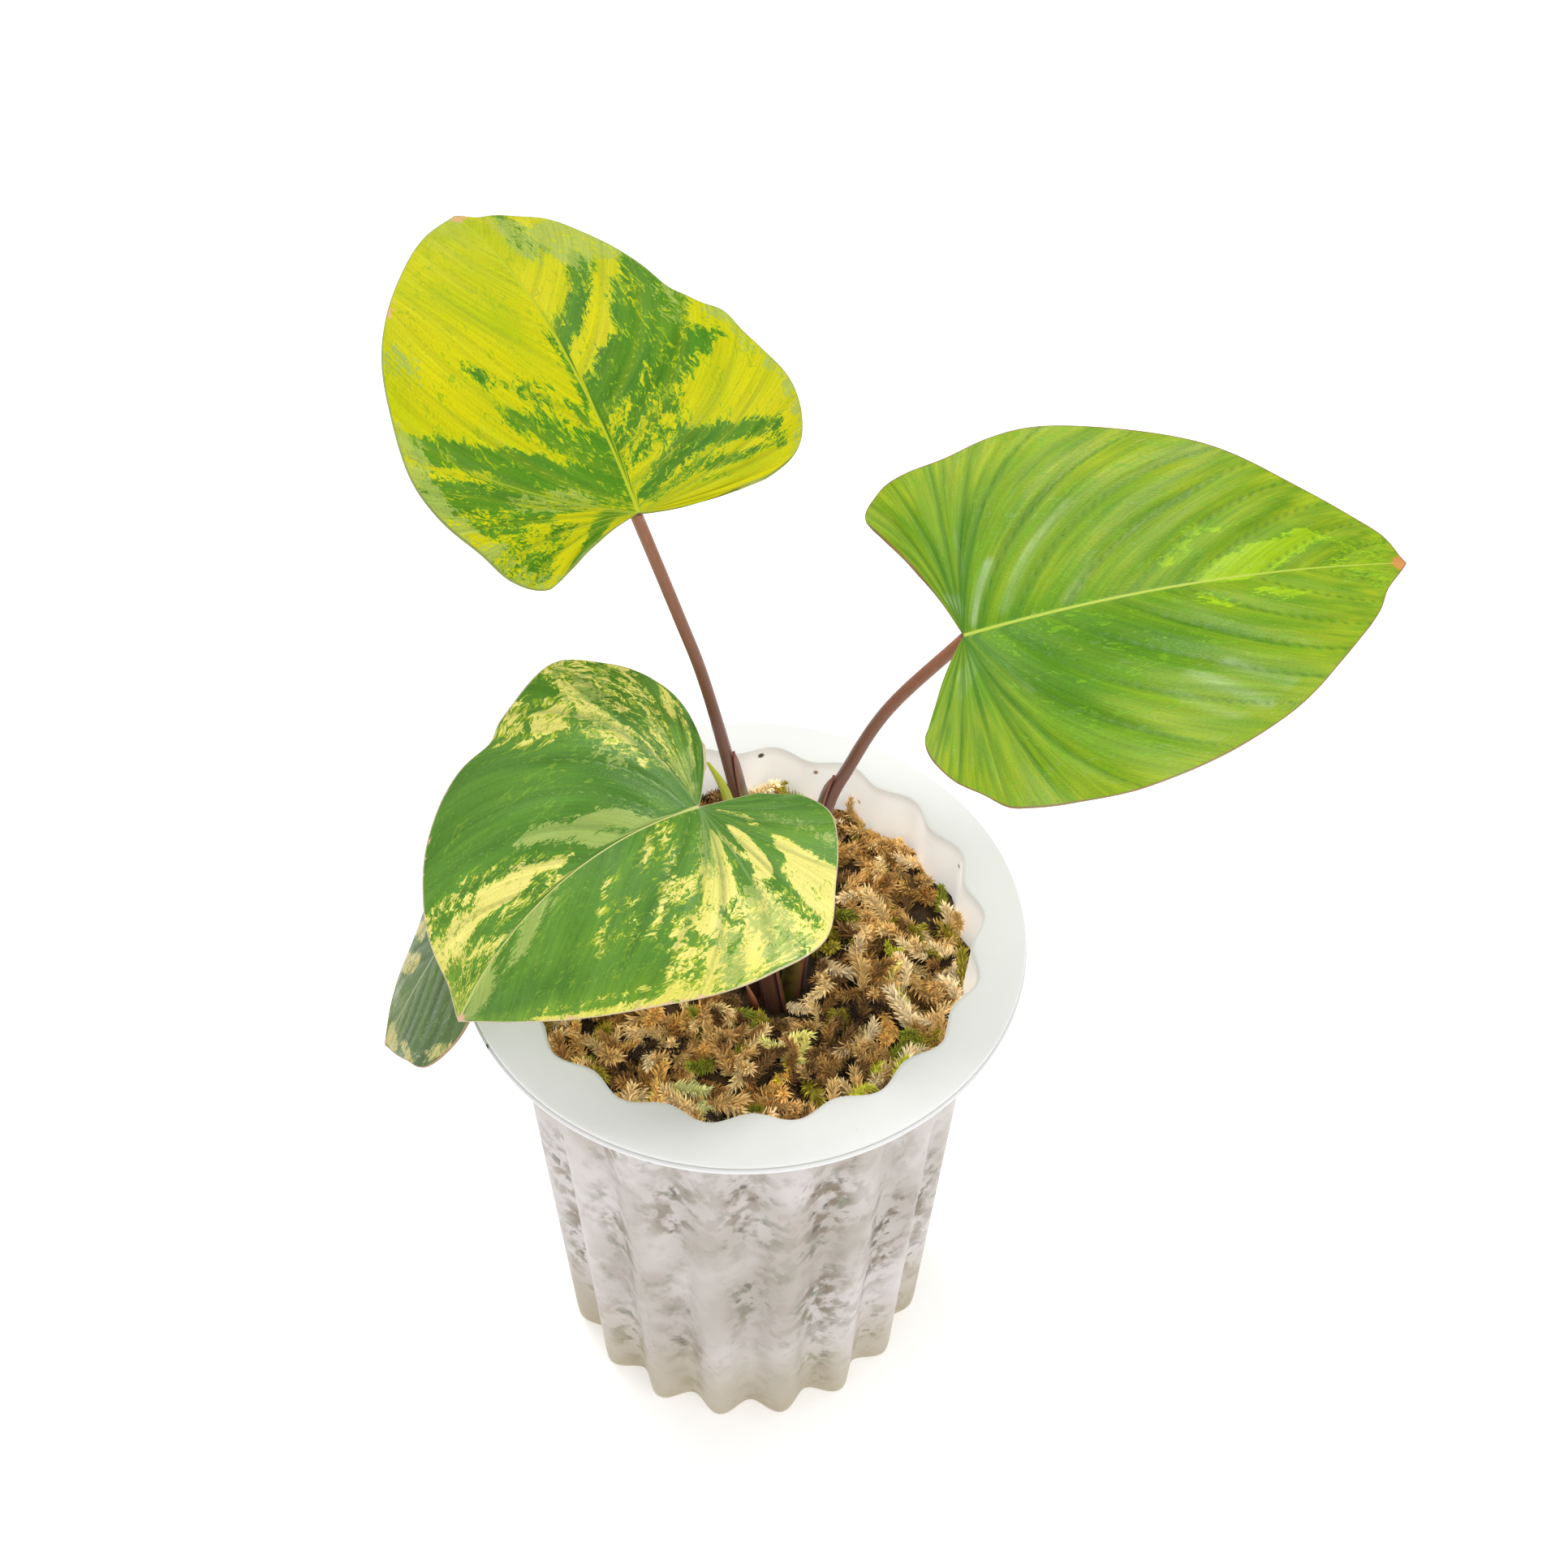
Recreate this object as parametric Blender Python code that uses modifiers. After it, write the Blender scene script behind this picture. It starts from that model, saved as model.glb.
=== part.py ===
# Potted homalomena: four heart-shaped leaves on long stalks, a rolled new shoot and their crown,
# rooted in moss in a pot of clear-white plastic with 18 soft flutes. Metres, +Z up, with the
# origin at the middle of the pot's flat underside.
import math
import random

import bmesh
import bpy
import numpy as np
from mathutils import Matrix, Vector

MM = 0.001
GAP = 0.3                      # clearance between touching pieces, mm

# Pot, in mm. Radii are those of the mean circle that the flutes swing about.
POT_HEIGHT = 172.0             # underside to the outer edge of the rim
RIM_RADIUS = 75.0              # outer edge of the flat rim: a 15 cm pot
MOUTH_RISE = 1.9               # the rim climbs this much from its edge to the mouth
WALL_TOP_RADIUS = 63.4
WALL_FOOT_RADIUS = 53.3
WALL = 1.2
FLOOR = 1.8
LIP_DROP = 3.2                 # rolled lip below the rim's edge
LIP_BULGE = 0.5
FLUTES = 18
FLUTE_TOP = 1.6                # half the swing of a flute at the rim
FLUTE_FOOT = 2.75              # and at the foot
FLUTE_PHASE = math.radians(-98.2)
STEPS_PER_FLUTE = 6
DRAIN_HOLES = 6
DRAIN_RADIUS = 4.0
DRAIN_CIRCLE = 27.0

# Moss bed, in mm
MOSS_DEPTH = 15.5              # surface below the rim, at the wall
MOSS_DIP = 2.5                 # further down in the middle
MOSS_LUMP = 1.6
SPRIGS = 150
SPRIG_LENGTH = (9.0, 15.0)
SPRIG_RADIUS = (2.0, 3.2)
SPRIG_SIDES = 5

# Crown, in mm: every stalk stands on it, in one plain hole in the moss
CROWN = (8.4, -5.4)
CROWN_TOP = POT_HEIGHT - 24.0
CROWN_DEPTH = 24.0
CROWN_RADIUS = (11.0, 9.0)     # foot, top
HOLE_RADIUS = CROWN_RADIUS[0] + GAP
STALK_CIRCLE = 5.4

# Leaves. A blade is laid out flat as a heart round its joint with the stalk: the radii run from the
# tip round each side to the end of the lobe, at these shares of the lobe's angle, and the last one
# is on the lobe's inner edge. It is then bent. Angles are in degrees, bends in degrees per 100 mm.
RIM_SHARES = (0, .07, .16, .26, .38, .5, .62, .73, .83, .92, 1.0)
BLADE = 0.7                    # thickness, mm
BLADE_ROWS = 20                # from the lobes to the tip
BLADE_COLUMNS = 5              # from the midrib to the edge
BACK_VEIN = 60                 # veins that end past this angle leave the joint, and fan back
LAST_VEIN = 65                 # and those before this one leave the midrib
EDGE_STEPS = 8                 # points of the outline for each of its radii
TIP_CALM = 6                   # the waved edge dies out over the last sixth of the rows

LEAVES = {
    "back": dict(
        joint=(-23.5, 15.3, 302.2), heading=111.4, rise=23.0, roll=4.5,
        droop=31.5, lobe_droop=23.5, arch=(-2, 24), fold=(13.4, 11.0), twist=-3.4, sweep=4.6,
        lobe=(119.5, 90.0), inner=(110, 114), wave=(1.0, 3.0, 1.3),
        left=(118.6, 103, 87.4, 75, 65, 57.8, 52.9, 47.8, 42.1, 38.4, 31.3),
        right=(118.6, 104, 86.3, 70.5, 61.6, 57.6, 53.1, 50.6, 47.0, 41.3, 30.8)),
    "right": dict(
        joint=(51.5, 4.8, 273.7), heading=8.6, rise=14.3, roll=15.7,
        droop=24.0, lobe_droop=6.5, arch=(21, 27), fold=(10.3, 11.4), twist=2.0, sweep=-1.0,
        lobe=(112, 120.5), inner=(103, 128), wave=(0.8, 4.0, 0.4),
        left=(111.5, 99.5, 85.4, 74.6, 65, 57.4, 51.2, 46.7, 44.5, 43.1, 38.4),
        right=(111.5, 99, 85.9, 75.8, 65.9, 58.4, 51.8, 48.3, 42.2, 36.9, 30.2)),
    "front": dict(
        joint=(-10.7, -12.2, 233.0), heading=-157.1, rise=3.5, roll=-8.3,
        droop=74.0, lobe_droop=4.5, arch=(29, -4), fold=(7.5, 10.3), twist=-3.0, sweep=37.0,
        lobe=(172, 113), inner=(189, 123), wave=(0.8, 3.5, 2.1),
        left=(83.2, 72.7, 63.5, 56.6, 51.8, 49.4, 47.4, 38.7, 34.6, 31.4, 24.7),
        right=(83.2, 73.9, 67.5, 61.9, 54.3, 50.2, 50.5, 42.9, 34.4, 27.1, 17.6)),
    "left": dict(
        joint=(-65.0, -6.2, 201.5), heading=-154.4, rise=-54.0, roll=14.9,
        droop=14.5, lobe_droop=23.0, arch=(22, 32), fold=(3.6, -1.5), twist=-3.0, sweep=-12.0,
        lobe=(125, 123), inner=(118, 118), wave=(1.0, 2.5, 0.2),
        left=(67.1, 60.1, 54.1, 51, 43.1, 36.2, 32, 29.5, 27.6, 25.6, 21.4),
        right=(67.1, 59.5, 52.5, 46.7, 41.1, 36.4, 32.7, 30.1, 27.9, 25.7, 21.3)),
}

# Stalks, in mm: the compass angle of the foot on the crown, the points that the stalk passes
# through on its way to the joint, its radius at foot and top, and the sheath at its foot as
# (compass angle, how far it stands out, height where it ends).
STALKS = {
    "back": dict(foot=92, radius=(2.3, 1.5), sheath=(-20, 1.5, 232),
                 via=[(5.6, 3.4, 180), (-2.2, 8, 219.2), (-9.3, 11, 252.5), (-15.1, 13, 272.3)]),
    "right": dict(foot=8, radius=(2.5, 1.6), sheath=(190, 1.8, 232),
                  via=[(16.4, -3.4, 180), (20.5, -1, 217.5), (25.8, 0, 233.5), (35.1, 2, 252.5)]),
    "front": dict(foot=272, radius=(2.3, 1.5), sheath=(60, 1.2, 196),
                  via=[(3.4, -11, 182), (-4.4, -11.5, 208)]),
    "left": dict(foot=180, radius=(2.2, 1.4), sheath=(90, 1.2, 176),
                 via=[(1.4, -4.6, 166), (-5, -3.6, 184), (-21, -3.2, 203), (-42, -4.6, 211),
                      (-57, -5.6, 207)]),
}
STALK_SIDES = 8
STALK_STEP = 7.0               # mm between the rings of a stalk

# New shoot, a blade still rolled, and the short scale leaf at the crown, in mm
SHOOT_PATH = [(8.4, -5.4, CROWN_TOP + GAP), (5.2, -2.6, 178), (-0.6, 0.8, 205), (-4.7, 3, 222),
              (-8.8, 4.8, 230.5)]
SHOOT_RADII = (1.5, 1.7, 1.5, 1.1, 0.35)
SCALE_PATH = [(3.2, -10.4, CROWN_TOP + GAP), (2.2, -11.2, 155), (0.6, -12.2, 162.5)]
SCALE_RADII = (1.9, 1.7, 0.4)
SCALE_FLAT = 0.45              # the scale leaf's thickness over its width


def clear_scene():
    for old in list(bpy.data.objects):
        bpy.data.objects.remove(old, do_unlink=True)


def new_collection(name):
    group = bpy.data.collections.new(name)
    bpy.context.scene.collection.children.link(group)
    return group


def principled(name, colour, roughness):
    material = bpy.data.materials.new(name)
    material.use_nodes = True
    shader = material.node_tree.nodes["Principled BSDF"]
    shader.inputs["Base Color"].default_value = (*colour, 1.0)
    shader.inputs["Roughness"].default_value = roughness
    return material


def finish_object(name, bm, material, group, smooth_angle=40):
    bmesh.ops.recalc_face_normals(bm, faces=bm.faces)
    mesh = bpy.data.meshes.new(name)
    bm.to_mesh(mesh)
    bm.free()
    mesh.materials.append(material)
    mesh.shade_smooth()
    mesh.set_sharp_from_angle(angle=math.radians(smooth_angle))
    piece = bpy.data.objects.new(name, mesh)
    group.objects.link(piece)
    return piece


def curve_points(points, steps):
    """Points on the smooth curve that passes through all the given ones."""
    knots = np.asarray(points, float)
    knots = np.vstack([2 * knots[0] - knots[1], knots, 2 * knots[-1] - knots[-2]])
    out = []
    for a, b, c, d in zip(knots, knots[1:], knots[2:], knots[3:]):
        for t in np.arange(steps) / steps:
            out.append(0.5 * (2 * b + (c - a) * t + (2 * a - 5 * b + 4 * c - d) * t ** 2
                              + (3 * b - a - 3 * c + d) * t ** 3))
    out.append(knots[-2])
    return np.array(out)


def wall_radius(z):
    """Mean outer radius of the pot's wall at height z."""
    share = z / POT_HEIGHT
    return WALL_FOOT_RADIUS + (WALL_TOP_RADIUS - WALL_FOOT_RADIUS) * share


def flute(angle, z):
    """How far the fluted wall stands out from its mean circle."""
    share = min(max(z / POT_HEIGHT, 0.0), 1.0)
    swing = FLUTE_FOOT + (FLUTE_TOP - FLUTE_FOOT) * share
    return swing * math.cos(FLUTES * (angle - FLUTE_PHASE))


def spin_fluted(profile, flute_shares, steps):
    """Turns a profile of (radius, height) points, then flutes it by each point's share."""
    bm = bmesh.new()
    layer = bm.verts.layers.float.new("flute share")
    verts = []
    for (radius, height), share in zip(profile, flute_shares):
        verts.append(bm.verts.new((radius, 0, height)))
        verts[-1][layer] = share
    edges = [bm.edges.new(pair) for pair in zip(verts, verts[1:])]
    spin = Matrix.Rotation(FLUTE_PHASE, 3, "Z")
    bmesh.ops.rotate(bm, verts=verts, cent=(0, 0, 0), matrix=spin)
    bmesh.ops.spin(bm, geom=verts + edges, cent=(0, 0, 0), axis=(0, 0, 1), dvec=(0, 0, 0),
                   angle=2 * math.pi, steps=steps, use_merge=True, use_duplicate=False)
    bmesh.ops.remove_doubles(bm, verts=bm.verts, dist=0.001)
    for vert in bm.verts:
        radius = math.hypot(vert.co.x, vert.co.y)
        if radius > 1:
            angle = math.atan2(vert.co.y, vert.co.x)
            scale = 1 + vert[layer] * flute(angle, vert.co.z) / radius
            vert.co.x *= scale
            vert.co.y *= scale
    return bm


def cut(piece, cutter, name, solver="EXACT"):
    modifier = piece.modifiers.new(name, "BOOLEAN")
    modifier.operation = "DIFFERENCE"
    modifier.solver = solver
    modifier.object = cutter


def add_cylinder_cutter(name, group, x, y, radius, low, high, sides):
    bm = bmesh.new()
    bmesh.ops.create_cone(bm, cap_ends=True, segments=sides, radius1=radius, radius2=radius,
                          depth=high - low)
    bmesh.ops.translate(bm, verts=bm.verts, vec=(x, y, (low + high) / 2))
    bmesh.ops.scale(bm, verts=bm.verts, vec=(MM, MM, MM))
    mesh = bpy.data.meshes.new(name)
    bm.to_mesh(mesh)
    bm.free()
    cutter = bpy.data.objects.new(name, mesh)
    cutter.hide_render = True
    cutter.display_type = "WIRE"
    group.objects.link(cutter)
    return cutter


def make_pot(parts, cutters):
    """Fluted wall, flat floor with drain holes, rim that slopes gently out to a rolled lip."""
    top = POT_HEIGHT
    mouth = top + MOUTH_RISE
    foot = WALL_FOOT_RADIUS
    inner_top = wall_radius(top) - WALL
    outside = [((0, 0), 0), ((foot - 2.0, 0), 1), ((foot - 0.5, 0.6), 1), ((foot, 2.4), 1),
               ((wall_radius(top) - 0.1, top - 0.6), 1), ((66.5, top - 0.3), 0)]
    lip = [((RIM_RADIUS - 1.2, top - 1.5), 0), ((RIM_RADIUS - 0.9, top - LIP_DROP), 0),
           ((RIM_RADIUS + LIP_BULGE, top - LIP_DROP + 0.3), 0),
           ((RIM_RADIUS + LIP_BULGE, top - 2.0), 0), ((RIM_RADIUS - 0.3, top - 1.2), 0),
           ((RIM_RADIUS, top), 0), ((68.5, top + 1.1), 0), ((65.0, top + 1.6), .35)]
    middle = POT_HEIGHT / 2
    inside = [((inner_top, mouth), 1), ((inner_top, top - 1.5), 1),
              ((wall_radius(middle) - WALL, middle), 1), ((foot - WALL, 5.0), 1),
              ((foot - 3.2, FLOOR), 1), ((0, FLOOR), 0)]
    points = outside + lip + inside
    bm = spin_fluted([p for p, _ in points], [s for _, s in points], FLUTES * STEPS_PER_FLUTE)
    bmesh.ops.scale(bm, verts=bm.verts, vec=(MM, MM, MM))
    pot = finish_object("pot", bm, principled("clear white plastic", (.80, .79, .76), .35), parts)
    for number in range(DRAIN_HOLES):
        angle = 2 * math.pi * number / DRAIN_HOLES
        hole = add_cylinder_cutter(
            f"drain_hole_{number + 1}", cutters, DRAIN_CIRCLE * math.cos(angle),
            DRAIN_CIRCLE * math.sin(angle), DRAIN_RADIUS, -2, FLOOR + 2, 10)
        cut(pot, hole, "drain hole")


def moss_height(x, y):
    """Height of the moss bed: lower in the middle, with soft lumps."""
    out = math.hypot(x, y) / WALL_TOP_RADIUS
    lumps = math.sin(x / 7.1 + 0.6) * math.cos(y / 6.3 - 0.9) + 0.6 * math.sin((x + y) / 9.7)
    return POT_HEIGHT - MOSS_DEPTH - MOSS_DIP * (1 - out * out) + MOSS_LUMP * lumps * (1 - out ** 6)


def make_moss_core(loose):
    """The bed itself, pressed against the fluted wall."""
    foot = WALL_FOOT_RADIUS
    edge = POT_HEIGHT - MOSS_DEPTH
    side = WALL + GAP
    middle = POT_HEIGHT / 2
    radii = (48, 34, 20)
    points = [((0, FLOOR + GAP), 0), ((foot - side - 2.6, FLOOR + GAP), 1),
              ((foot - side - 0.2, 6.0), 1), ((wall_radius(middle) - side - 0.1, middle), 1),
              ((wall_radius(edge) - side - 0.1, edge), 1), ((58.5, edge + 0.5), .5)]
    points += [((r, moss_height(r, 0)), 0) for r in radii] + [((0, moss_height(0, 0)), 0)]
    bm = spin_fluted([p for p, _ in points], [s for _, s in points], FLUTES * STEPS_PER_FLUTE)
    for vert in bm.verts:
        if vert.co.z > edge - 10 and math.hypot(vert.co.x, vert.co.y) < 55:
            vert.co.z = moss_height(vert.co.x, vert.co.y)
    bmesh.ops.scale(bm, verts=bm.verts, vec=(MM, MM, MM))
    return finish_object("moss_bed", bm, principled("sphagnum moss", (.36, .24, .11), .95), loose)


def add_sprig(group, number, place, lean, turn, length, radius):
    """A tapered sprig of moss with its root sunk in the bed."""
    bm = bmesh.new()
    bmesh.ops.create_cone(bm, cap_ends=True, segments=SPRIG_SIDES, radius1=radius, radius2=0,
                          depth=length)
    bmesh.ops.translate(bm, verts=bm.verts, vec=(0, 0, length * 0.22))
    bmesh.ops.rotate(bm, verts=bm.verts, cent=(0, 0, 0), matrix=Matrix.Rotation(lean, 3, "Y"))
    bmesh.ops.rotate(bm, verts=bm.verts, cent=(0, 0, 0), matrix=Matrix.Rotation(turn, 3, "Z"))
    bmesh.ops.translate(bm, verts=bm.verts, vec=place)
    bmesh.ops.scale(bm, verts=bm.verts, vec=(MM, MM, MM))
    mesh = bpy.data.meshes.new(f"sprig_{number}")
    bm.to_mesh(mesh)
    bm.free()
    group.objects.link(bpy.data.objects.new(f"sprig_{number}", mesh))


def keep_main_body(mesh):
    """Drops every island of faces but the largest: small hollows and scraps left by the fusing."""
    bm = bmesh.new()
    bm.from_mesh(mesh)
    left = set(bm.faces)
    islands = []
    while left:
        front = [left.pop()]
        island = set(front)
        while front:
            near = {other for edge in front.pop().edges for other in edge.link_faces} - island
            island |= near
            front.extend(near)
        left -= island
        islands.append(island)
    main = max(islands, key=len)
    spare = [face for island in islands if island is not main for face in island]
    bmesh.ops.delete(bm, geom=spare, context="FACES")
    bm.to_mesh(mesh)
    bm.free()


def make_moss(parts, cutters):
    """Bed and sprigs fused into one body, with the crown's hole through them."""
    bed = make_moss_core(parts)
    sprigs = new_collection("moss sprigs")
    draw = random.Random(11)
    number = 0
    while number < SPRIGS:
        x = draw.uniform(-WALL_TOP_RADIUS, WALL_TOP_RADIUS)
        y = draw.uniform(-WALL_TOP_RADIUS, WALL_TOP_RADIUS)
        length = draw.uniform(*SPRIG_LENGTH)
        radius = draw.uniform(*SPRIG_RADIUS)
        turn = draw.uniform(-math.pi, math.pi)
        lean = math.radians(draw.uniform(45, 80))
        spots = [(x + part * length * math.cos(turn), y + part * length * math.sin(turn))
                 for part in (-0.3, 0.0, 0.3, 0.7)]
        reach = WALL_TOP_RADIUS - WALL - FLUTE_TOP - radius - 2
        clear = HOLE_RADIUS + radius + 0.5
        if any(math.hypot(*spot) > reach or math.dist(spot, CROWN) < clear for spot in spots):
            continue
        number += 1
        add_sprig(sprigs, number, (x, y, moss_height(x, y)), lean, turn, length, radius)
    join = bed.modifiers.new("sprigs", "BOOLEAN")
    join.operation = "UNION"
    join.operand_type = "COLLECTION"
    join.collection = sprigs
    join.solver = "MANIFOLD"
    hole = add_cylinder_cutter("crown_hole", cutters, *CROWN, HOLE_RADIUS,
                               CROWN_TOP - CROWN_DEPTH - GAP, POT_HEIGHT, 24)
    cut(bed, hole, "crown hole", "MANIFOLD")
    bpy.context.view_layer.update()
    fused = bpy.data.meshes.new_from_object(bed.evaluated_get(bpy.context.evaluated_depsgraph_get()))
    keep_main_body(fused)
    bed.modifiers.clear()
    bed.data = fused
    for sprig in list(sprigs.objects):
        bpy.data.objects.remove(sprig, do_unlink=True)
    bpy.data.collections.remove(sprigs)


def make_crown(parts):
    """The short stem, wider at its foot, that every stalk grows from."""
    bm = bmesh.new()
    bmesh.ops.create_cone(bm, cap_ends=True, segments=24, radius1=CROWN_RADIUS[0],
                          radius2=CROWN_RADIUS[1], depth=CROWN_DEPTH)
    bmesh.ops.translate(bm, verts=bm.verts, vec=(*CROWN, CROWN_TOP - CROWN_DEPTH / 2))
    bmesh.ops.scale(bm, verts=bm.verts, vec=(MM, MM, MM))
    finish_object("crown", bm, principled("crown", (.17, .09, .05), .8), parts)


def loft(name, rings, material, parts):
    """A closed skin over rings that have the same number of points."""
    bm = bmesh.new()
    loops = [[bm.verts.new(point) for point in ring] for ring in rings]
    for low, high in zip(loops, loops[1:]):
        for index in range(len(low)):
            after = (index + 1) % len(low)
            bm.faces.new((low[index], low[after], high[after], high[index]))
    bm.faces.new(loops[0])
    bm.faces.new(loops[-1])
    bmesh.ops.triangulate(bm, faces=bm.faces)
    bmesh.ops.scale(bm, verts=bm.verts, vec=(MM, MM, MM))
    return finish_object(name, bm, material, parts, 50)


def ring_at(centre, along, side, section):
    """Points of a section round centre, square to along, with its zero angle towards side."""
    along = Vector(along).normalized()
    across = (Vector(side) - along * along.dot(Vector(side))).normalized()
    third = along.cross(across)
    middle = Vector(centre)
    return [middle + across * u + third * v for u, v in section]


def leaf_axes(leaf):
    """Unit vectors along the midrib, to the blade's left and up from its face, at the joint."""
    heading, rise, roll = (math.radians(leaf[key]) for key in ("heading", "rise", "roll"))
    along = np.array([math.cos(heading) * math.cos(rise), math.sin(heading) * math.cos(rise),
                      math.sin(rise)])
    level = np.array([-math.sin(heading), math.cos(heading), 0.0])
    upright = np.cross(along, level)
    left = level * math.cos(roll) + upright * math.sin(roll)
    return along, left, np.cross(along, left)


def stalk_end(leaf):
    """Where the stalk stops, just under the blade's joint."""
    _, _, up = leaf_axes(leaf)
    return np.array(leaf["joint"]) - up * (BLADE + GAP + 0.9)


def make_stalk(key, parts, material):
    spec = STALKS[key]
    turn = math.radians(spec["foot"])
    foot = (CROWN[0] + STALK_CIRCLE * math.cos(turn), CROWN[1] + STALK_CIRCLE * math.sin(turn),
            CROWN_TOP + GAP)
    path = curve_points([foot] + spec["via"] + [tuple(stalk_end(LEAVES[key]))], 12)
    length = np.concatenate([[0], np.cumsum(np.linalg.norm(np.diff(path, axis=0), axis=1))])
    count = max(3, int(length[-1] / STALK_STEP) + 1)
    places = np.linspace(0, length[-1], count)
    centres = np.array([[np.interp(s, length, path[:, i]) for i in range(3)] for s in places])
    tangents = np.gradient(centres, axis=0)
    tangents[0] = (0, 0, 1)
    sheath_angle, sheath_out, sheath_top = spec["sheath"]
    side = (math.cos(math.radians(sheath_angle)), math.sin(math.radians(sheath_angle)), 0)
    rings = []
    for centre, tangent, place in zip(centres, tangents, places):
        share = place / length[-1]
        radius = spec["radius"][0] + (spec["radius"][1] - spec["radius"][0]) * min(1, share * 1.6)
        height = (centre[2] - CROWN_TOP) / (sheath_top - CROWN_TOP)
        flare = sheath_out * max(0.0, 1 - height ** 4) * min(1, 0.3 + height) if height < 1 else 0
        section = []
        for index in range(STALK_SIDES):
            angle = 2 * math.pi * index / STALK_SIDES
            reach = radius + flare * max(0.0, math.cos(angle)) ** 4
            section.append((reach * math.cos(angle), reach * math.sin(angle)))
        rings.append(ring_at(centre, tangent, side, section))
    loft(f"stalk_{key}", rings, material, parts)


def tapered_rings(points, radii, sides, flat, side):
    centres = curve_points(points, 3)
    widths = np.interp(np.linspace(0, len(points) - 1, len(centres)), range(len(points)), radii)
    tangents = np.gradient(centres, axis=0)
    rings = []
    for centre, tangent, width in zip(centres, tangents, widths):
        section = [(width * flat * math.cos(2 * math.pi * i / sides),
                    width * math.sin(2 * math.pi * i / sides)) for i in range(sides)]
        rings.append(ring_at(centre, tangent, side, section))
    return rings


def edge_curve(leaf, side):
    """The blade's outline on one side, laid out flat, from the tip to the lobe's inner edge."""
    name, index = ("left", 0) if side > 0 else ("right", 1)
    lobe = leaf["lobe"][index]
    inner = leaf["inner"][index]
    angles = [share * lobe for share in RIM_SHARES] + [lobe + 0.35 * (inner - lobe)]
    radii = list(leaf[name]) + [leaf[name][-1] * 0.62]
    flat = [(r * math.cos(math.radians(a)), side * r * math.sin(math.radians(a)))
            for r, a in zip(radii, angles)]
    return curve_points(flat, EDGE_STEPS)


def vein_point(leaf, edge, side, row, share):
    """A point laid out flat: row 0 is at the lobe and row 1 at the tip, and share runs along
    the vein of that row, from the midrib to the edge."""
    inner_rows = EDGE_STEPS / (len(edge) - 1)
    if 0 < row < inner_rows:
        return (vein_point(leaf, edge, side, 0, share) * (1 - row / inner_rows)
                + vein_point(leaf, edge, side, inner_rows, share) * row / inner_rows)
    place = (1 - row) * (len(edge) - 1)
    end = np.array([np.interp(place, range(len(edge)), edge[:, i]) for i in range(2)])
    angle = abs(math.degrees(math.atan2(end[1], end[0])))
    start = np.array([leaf["left"][0] * max(0.0, 1 - angle / LAST_VEIN) ** 1.8, 0.0])
    reach = end - start
    turn = int(np.argmax(np.abs(np.degrees(np.arctan2(edge[:, 1], edge[:, 0]))) > BACK_VEIN))
    bend = reach * np.array([0.32, 0.62])
    if place > turn:
        first = math.degrees(math.atan2(0.62 * abs(edge[turn][1]), 0.32 * edge[turn][0]))
        last = min(leaf["inner"][0 if side > 0 else 1], 178)
        way = math.radians(first + (last - first) * (place - turn) / (len(edge) - 1 - turn))
        bend = np.linalg.norm(reach) * 0.54 * np.array([math.cos(way), side * math.sin(way)])
    return start + bend * 2 * share * (1 - share) + reach * share ** 2


def midrib_table(leaf):
    """Places, directions and left-hand vectors along the bent midrib, one for each mm."""
    rad = math.radians(1) / 100
    s = np.arange(-60, 141)
    pitch = np.where(s > 0, -leaf["droop"] * s, -leaf["lobe_droop"] * s) * rad
    yaw = np.where(s > 0, leaf["sweep"] * s, 0) * rad
    along = np.stack([np.cos(pitch) * np.cos(yaw), np.cos(pitch) * np.sin(yaw), np.sin(pitch)], -1)
    left = np.stack([-np.sin(yaw), np.cos(yaw), 0 * yaw], -1)
    place = np.vstack([np.zeros(3), np.cumsum((along[1:] + along[:-1]) / 2, axis=0)])
    return s, place - place[60], along, left


def bend_point(leaf, table, flat, row, share):
    """Takes a flat point to its place on the bent, folded and waved blade."""
    s, place, along, left = table
    side = 1 if flat[1] >= 0 else -1
    index = 0 if side > 0 else 1
    pick = [np.array([np.interp(flat[0], s, column[:, i]) for i in range(3)])
            for column in (place, along, left)]
    rad = math.radians(1)
    twist = leaf["twist"] * rad / 100 * flat[0]
    up = np.cross(pick[1], pick[2])
    across = pick[2] * math.cos(twist) + up * math.sin(twist)
    up = up * math.cos(twist) - pick[2] * math.sin(twist)
    curl = leaf["arch"][index] * rad / 100
    fold = leaf["fold"][index] * rad
    width = abs(flat[1])
    out = (math.sin(fold) - math.sin(fold - curl * width)) / curl
    lift = (math.cos(fold - curl * width) - math.cos(fold)) / curl
    swing, waves, phase = leaf["wave"]
    swing *= min(1.0, TIP_CALM * (1 - row))
    lift += swing * share ** 3 * math.sin(2 * math.pi * waves * row + phase + side)
    local = pick[0] + across * side * out + up * lift
    return np.array(leaf["joint"]) + np.stack(leaf_axes(leaf), 1) @ local


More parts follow.
